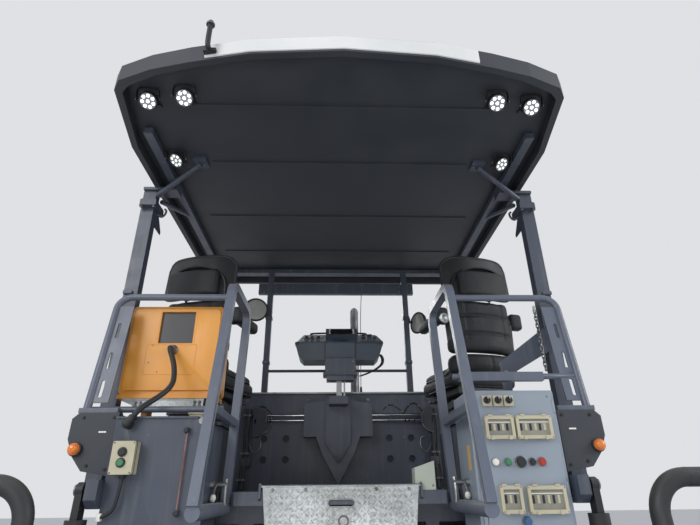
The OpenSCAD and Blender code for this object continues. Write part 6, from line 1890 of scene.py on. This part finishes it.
class Screed(Assembly):
    """Checkered walkways, bolts, hoses and control boxes of the screed and its extensions."""

    def middle(self) -> None:
        """Main screed: walkway bars, bolts, heating leads and tow arm pins."""
        piece = Piece("screed_fittings", self.finishes)
        piece.put(lozenges((-1.19, -2.71, 0.7203), RIGHT, AHEAD, (2.38, 0.27), 38), "galvanised")
        for s in (-1, 1):
            spots = [(s * 1.25, y, z) for y, z in ((-2.68, 0.10), (-2.44, 0.10), (-2.44, 0.60),
                (-2.44, 0.35), (-2.62, 0.45))]
            piece.fasten(spots, (s, 0, 0), 0.010)
            arm = s * 1.16
            for y, z in ((-2.20, 0.52), (-2.20, 0.62), (-1.95, 0.54), (-1.95, 0.64)):
                piece.fasten([(arm, y, z)], (s, 0, 0), 0.014)
            pin = [(0, 0), (0.046, 0), (0.046, 0.012), (0.040, 0.018), (0, 0.018)]
            piece.put(lathe(pin, (arm, 0.42, 0.56), (s, 0, 0), 28), "worn_steel")
            line = smooth([(arm + s * 0.012, -2.05, 0.665), (arm + s * 0.012, -1.5, 0.655),
                (arm + s * 0.012, -0.8, 0.640), (arm + s * 0.012, 0.20, 0.625)], 40)
            piece.put(swept(line, 0.009, 10))
            clips = [pillow((min(arm, arm + s * 0.022), y - 0.012, z - 0.014),
                (max(arm, arm + s * 0.022), y + 0.012, z + 0.014), 0.003, 2) for y,
                z in ((-1.9, 0.663), (-1.3, 0.651), (-0.7, 0.638), (0.05, 0.628))]
            piece.put(joined(clips), "worn_steel")
        piece.fasten(row((-1.15, -2.382, 0.47), (1.15, -2.382, 0.47), 12), AHEAD, 0.009)
        piece.build("screed", "galvanised", 0)

    def extension(self, side: Side) -> None:
        """One extension: finishes of its form, walkway bars, control box, bolts and leads."""
        s = side.value

        def span(a: float, b: float) -> tuple[float, float]:
            """Lowest and highest place along X, from two distances off the centre plane."""
            return min(s * a, s * b), max(s * a, s * b)

        (x0, x1), (b0, b1) = span(0.0, 1.30), span(1.0, 1.25)
        self.coat(f"extension_{side.word}", "slate_paint", [
            ("black_plastic", (x0, -3.40, 0.722), (x1, -3.22, 1.80)),
            ("dark_moulding", (b0, -3.295, 1.325), (b1, -3.10, 1.60)),
            ("galvanised", (x0, -3.32, 0.688), (x1, -2.78, 0.7205))], 1.5)
        piece = Piece(f"{side.word}_extension_fittings", self.finishes)
        left, _ = span(0.03, 1.23)
        piece.put(lozenges((left, -3.29, 0.7203), RIGHT, AHEAD, (1.20, 0.48), 38,
            [(0.0 if s < 0 else 0.76, 0.0, 0.44 if s < 0 else 1.20, 0.07)]), "galvanised")
        slope = np.array([0, -0.110, 0.090]) / math.hypot(0.110, 0.090)
        out = np.array([0, 0.090, 0.110]) / math.hypot(0.110, 0.090)
        middle = np.array([s * 1.112, -3.185, 1.545])
        piece.put(slab(round_rect(0.18, 0.12, 0.008), 0.003, middle + out * 0.0032 - out * 0.003, RIGHT,
            -slope), "dark_gloss")
        piece.put(slab(round_rect(0.085, 0.050, 0.003), 0.0015, middle + out * 0.003 - slope * -0.022,
            RIGHT, -slope), "display_glass")
        for k, finish in enumerate(("red_plastic", "green_plastic", "white_plastic", "black_plastic",
                "black_plastic", "blue_plastic")):
            at = middle + out * 0.002 + slope * (-0.012 if k < 3 else -0.038) + ((k % 3 - 1) * 0.052, 0, 0)
            piece.put(lathe([(0, 0), (0.011, 0), (0.010, 0.007), (0.006, 0.009), (0, 0.009)], at, out, 16),
                finish)
        for z in (1.40, 1.52):
            piece.fasten([(s * 1.225, -3.2598, z)], AHEAD, 0.007)
        spots = [(s * 1.274, y, z) for y, z in ((-3.17, 0.40), (-2.90, 0.40), (-2.60, 0.38), (-2.35, 0.30),
            (-3.0, 0.14), (-2.5, 0.12))]
        piece.fasten(spots, (s, 0, 0), 0.011)
        lead = smooth([(s * 1.20, -3.20, 1.332), (s * 1.205, -3.205, 1.24), (s * 1.214, -3.268, 1.12),
            (s * 1.215, -3.272, 0.95), (s * 1.214, -3.268, 0.73)], 36)
        piece.put(swept(lead, 0.008, 10))
        for z in (1.10, 0.95, 0.80):
            k = int(np.abs(lead[:, 2] - z).argmin())
            piece.put(pillow(lead[k] - (0.011, 0.020, 0.006), lead[k] + (0.011, 0.011, 0.006), 0.003, 2),
                "dark_moulding")
        piece.build(f"{side.word}_extension", "galvanised", 0)

    def cylinders(self) -> None:
        """Glands, hose tails and pin caps of the lift cylinders."""
        piece = Piece("cylinder_fittings", self.finishes)
        for s in (-1, 1):
            x, y = s * 1.13, -2.352
            gland = [(0.0265, 1.165), (0.047, 1.165), (0.047, 1.200), (0.0445, 1.205), (0.0265, 1.205),
                (0.0265, 1.165)]
            piece.put(lathe(gland, (x, y, 0), UP, 28), "worn_steel")
            for z in (1.23, 1.58):
                piece.put(lathe([(0, 0), (0.013, 0), (0.013, 0.016), (0.010, 0.016), (0.010, 0.030),
                    (0, 0.030)], (x, y + 0.042, z), AHEAD, 14), "worn_steel")
            hose = smooth([(x, y + 0.066, 1.23), (x, y + 0.085, 1.235), (x, y + 0.088, 1.30),
                (x, y + 0.088, 1.46), (x, y + 0.085, 1.575), (x, y + 0.066, 1.58)], 40)
            piece.put(swept(hose, 0.008, 10))
            cap = [(0, 0), (0.024, 0), (0.024, 0.006), (0, 0.006)]
            piece.put(lathe(cap, (s * 1.1503, y, 1.735), (s, 0, 0), 20), "worn_steel")
        piece.build("cylinder_barrels", "worn_steel", 0)

    def build(self) -> None:
        """Make all of it."""
        self.middle()
        for side in Side:
            self.extension(side)
        self.cylinders()


def mix_finishes() -> dict[str, bpy.types.Material]:
    """Make every finish of the machine, by the name its pieces call it."""
    made = [
        Paint("slate_paint", "#444b59"),
        Paint("rail_paint", "#5a6170", gloss=0.38, rubbed=0.2),
        Paint("rim_paint", "#5d626c", rubbed=0.4),
        Moulding("dark_moulding", "#30343b", 3.0, 0.55, 0.4),
        Moulding("black_plastic", "#1d1e21"),
        Vinyl("black_vinyl"),
        Rubber("tyre_rubber"),
        Paint("yellow_paint", "#dc9430", "#a08555", "#b98a45", 0.36, 0.3, 0.06),
        Paint("cabinet_grey", "#8f9aa6", "#98968f", "#7b8087", 0.4, 0.3, 0.06),
        Moulding("beige_plastic", "#b5ad92", 1.6, 0.45, 0.2),
        BareMetal("galvanised", "#a9adae"),
        BareMetal("worn_steel", "#86878a", "#3e3a36", 4.0, 0.4, 0.6),
        BareMetal("chromed_rod", "#d4d6d8", "#8a8a88", 2.0, 0.12, 0.05, metallic=1.0),
        Lens("lamp_glass", "#f4f6f8", 1.2),
        Lens("amber_lens", "#e07a2c", 0.05),
        Lens("lit_diode", "#f6faff", 2.2, 3.0),
        Lens("lit_diode_low", "#e6ece8", 1.2, 3.0),
        Moulding("diode_body", "#8f9296", 1.2, 0.4, 0.1),
        Lens("mirror_glass", "#a3a49f", 0.0, 400.0),
        Lens("display_glass", "#15181c", 0.0, 400.0),
        Lens("smoked_window", "#8b8b80", 0.0, 400.0),
        Moulding("dark_gloss", "#2c2c30", 1.4, 0.3, 0.15),
        Moulding("white_plastic", "#dcdad0", 1.4, 0.45, 0.15),
        Moulding("green_plastic", "#2c7a50", 1.4, 0.4, 0.15),
        Moulding("red_plastic", "#a8352c", 1.4, 0.4, 0.15),
        Moulding("blue_plastic", "#2a5a8a", 1.4, 0.4, 0.15),
        Moulding("yellow_label", "#c79a4a", 1.2, 0.5, 0.2),
        Moulding("pale_cover", "#a9b0a3", 1.6, 0.5, 0.35),
        Moulding("console_blue", "#2f3c4a", 2.6, 0.45, 0.3),
        Paint("fascia_white", "#e2e3e2", "#a9a8a2", "#bdbdba", 0.35, 0.15, 0.02),
        BareMetal("rusty_rod", "#8f6f68", "#7a3b30", 3.0, 0.5, 0.8, metallic=0.4),
    ]
    return {finish.name: finish.make() for finish in made}


def main() -> None:
    """Load the frame, dress it and build every piece."""
    logging.basicConfig(level=logging.INFO, format="%(name)s: %(message)s")
    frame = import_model()
    Studio().build()
    finishes = mix_finishes()
    for node in frame["nodes"].values():
        slots = node.data.materials
        for i in range(len(slots)):
            slots[i] = finishes[slots[i].name.split(".")[0]]
    CaseCable(frame, finishes).build()
    pads = Seat(Side.RIGHT).pads()
    for side in Side:
        Seat(side).build(finishes, pads)
    for assembly in (Rear, Canopy, Passage, Wheels, Tractor, Hopper, Screed, Console):
        assembly(frame, finishes).build()


if __name__ == "__main__":
    main()
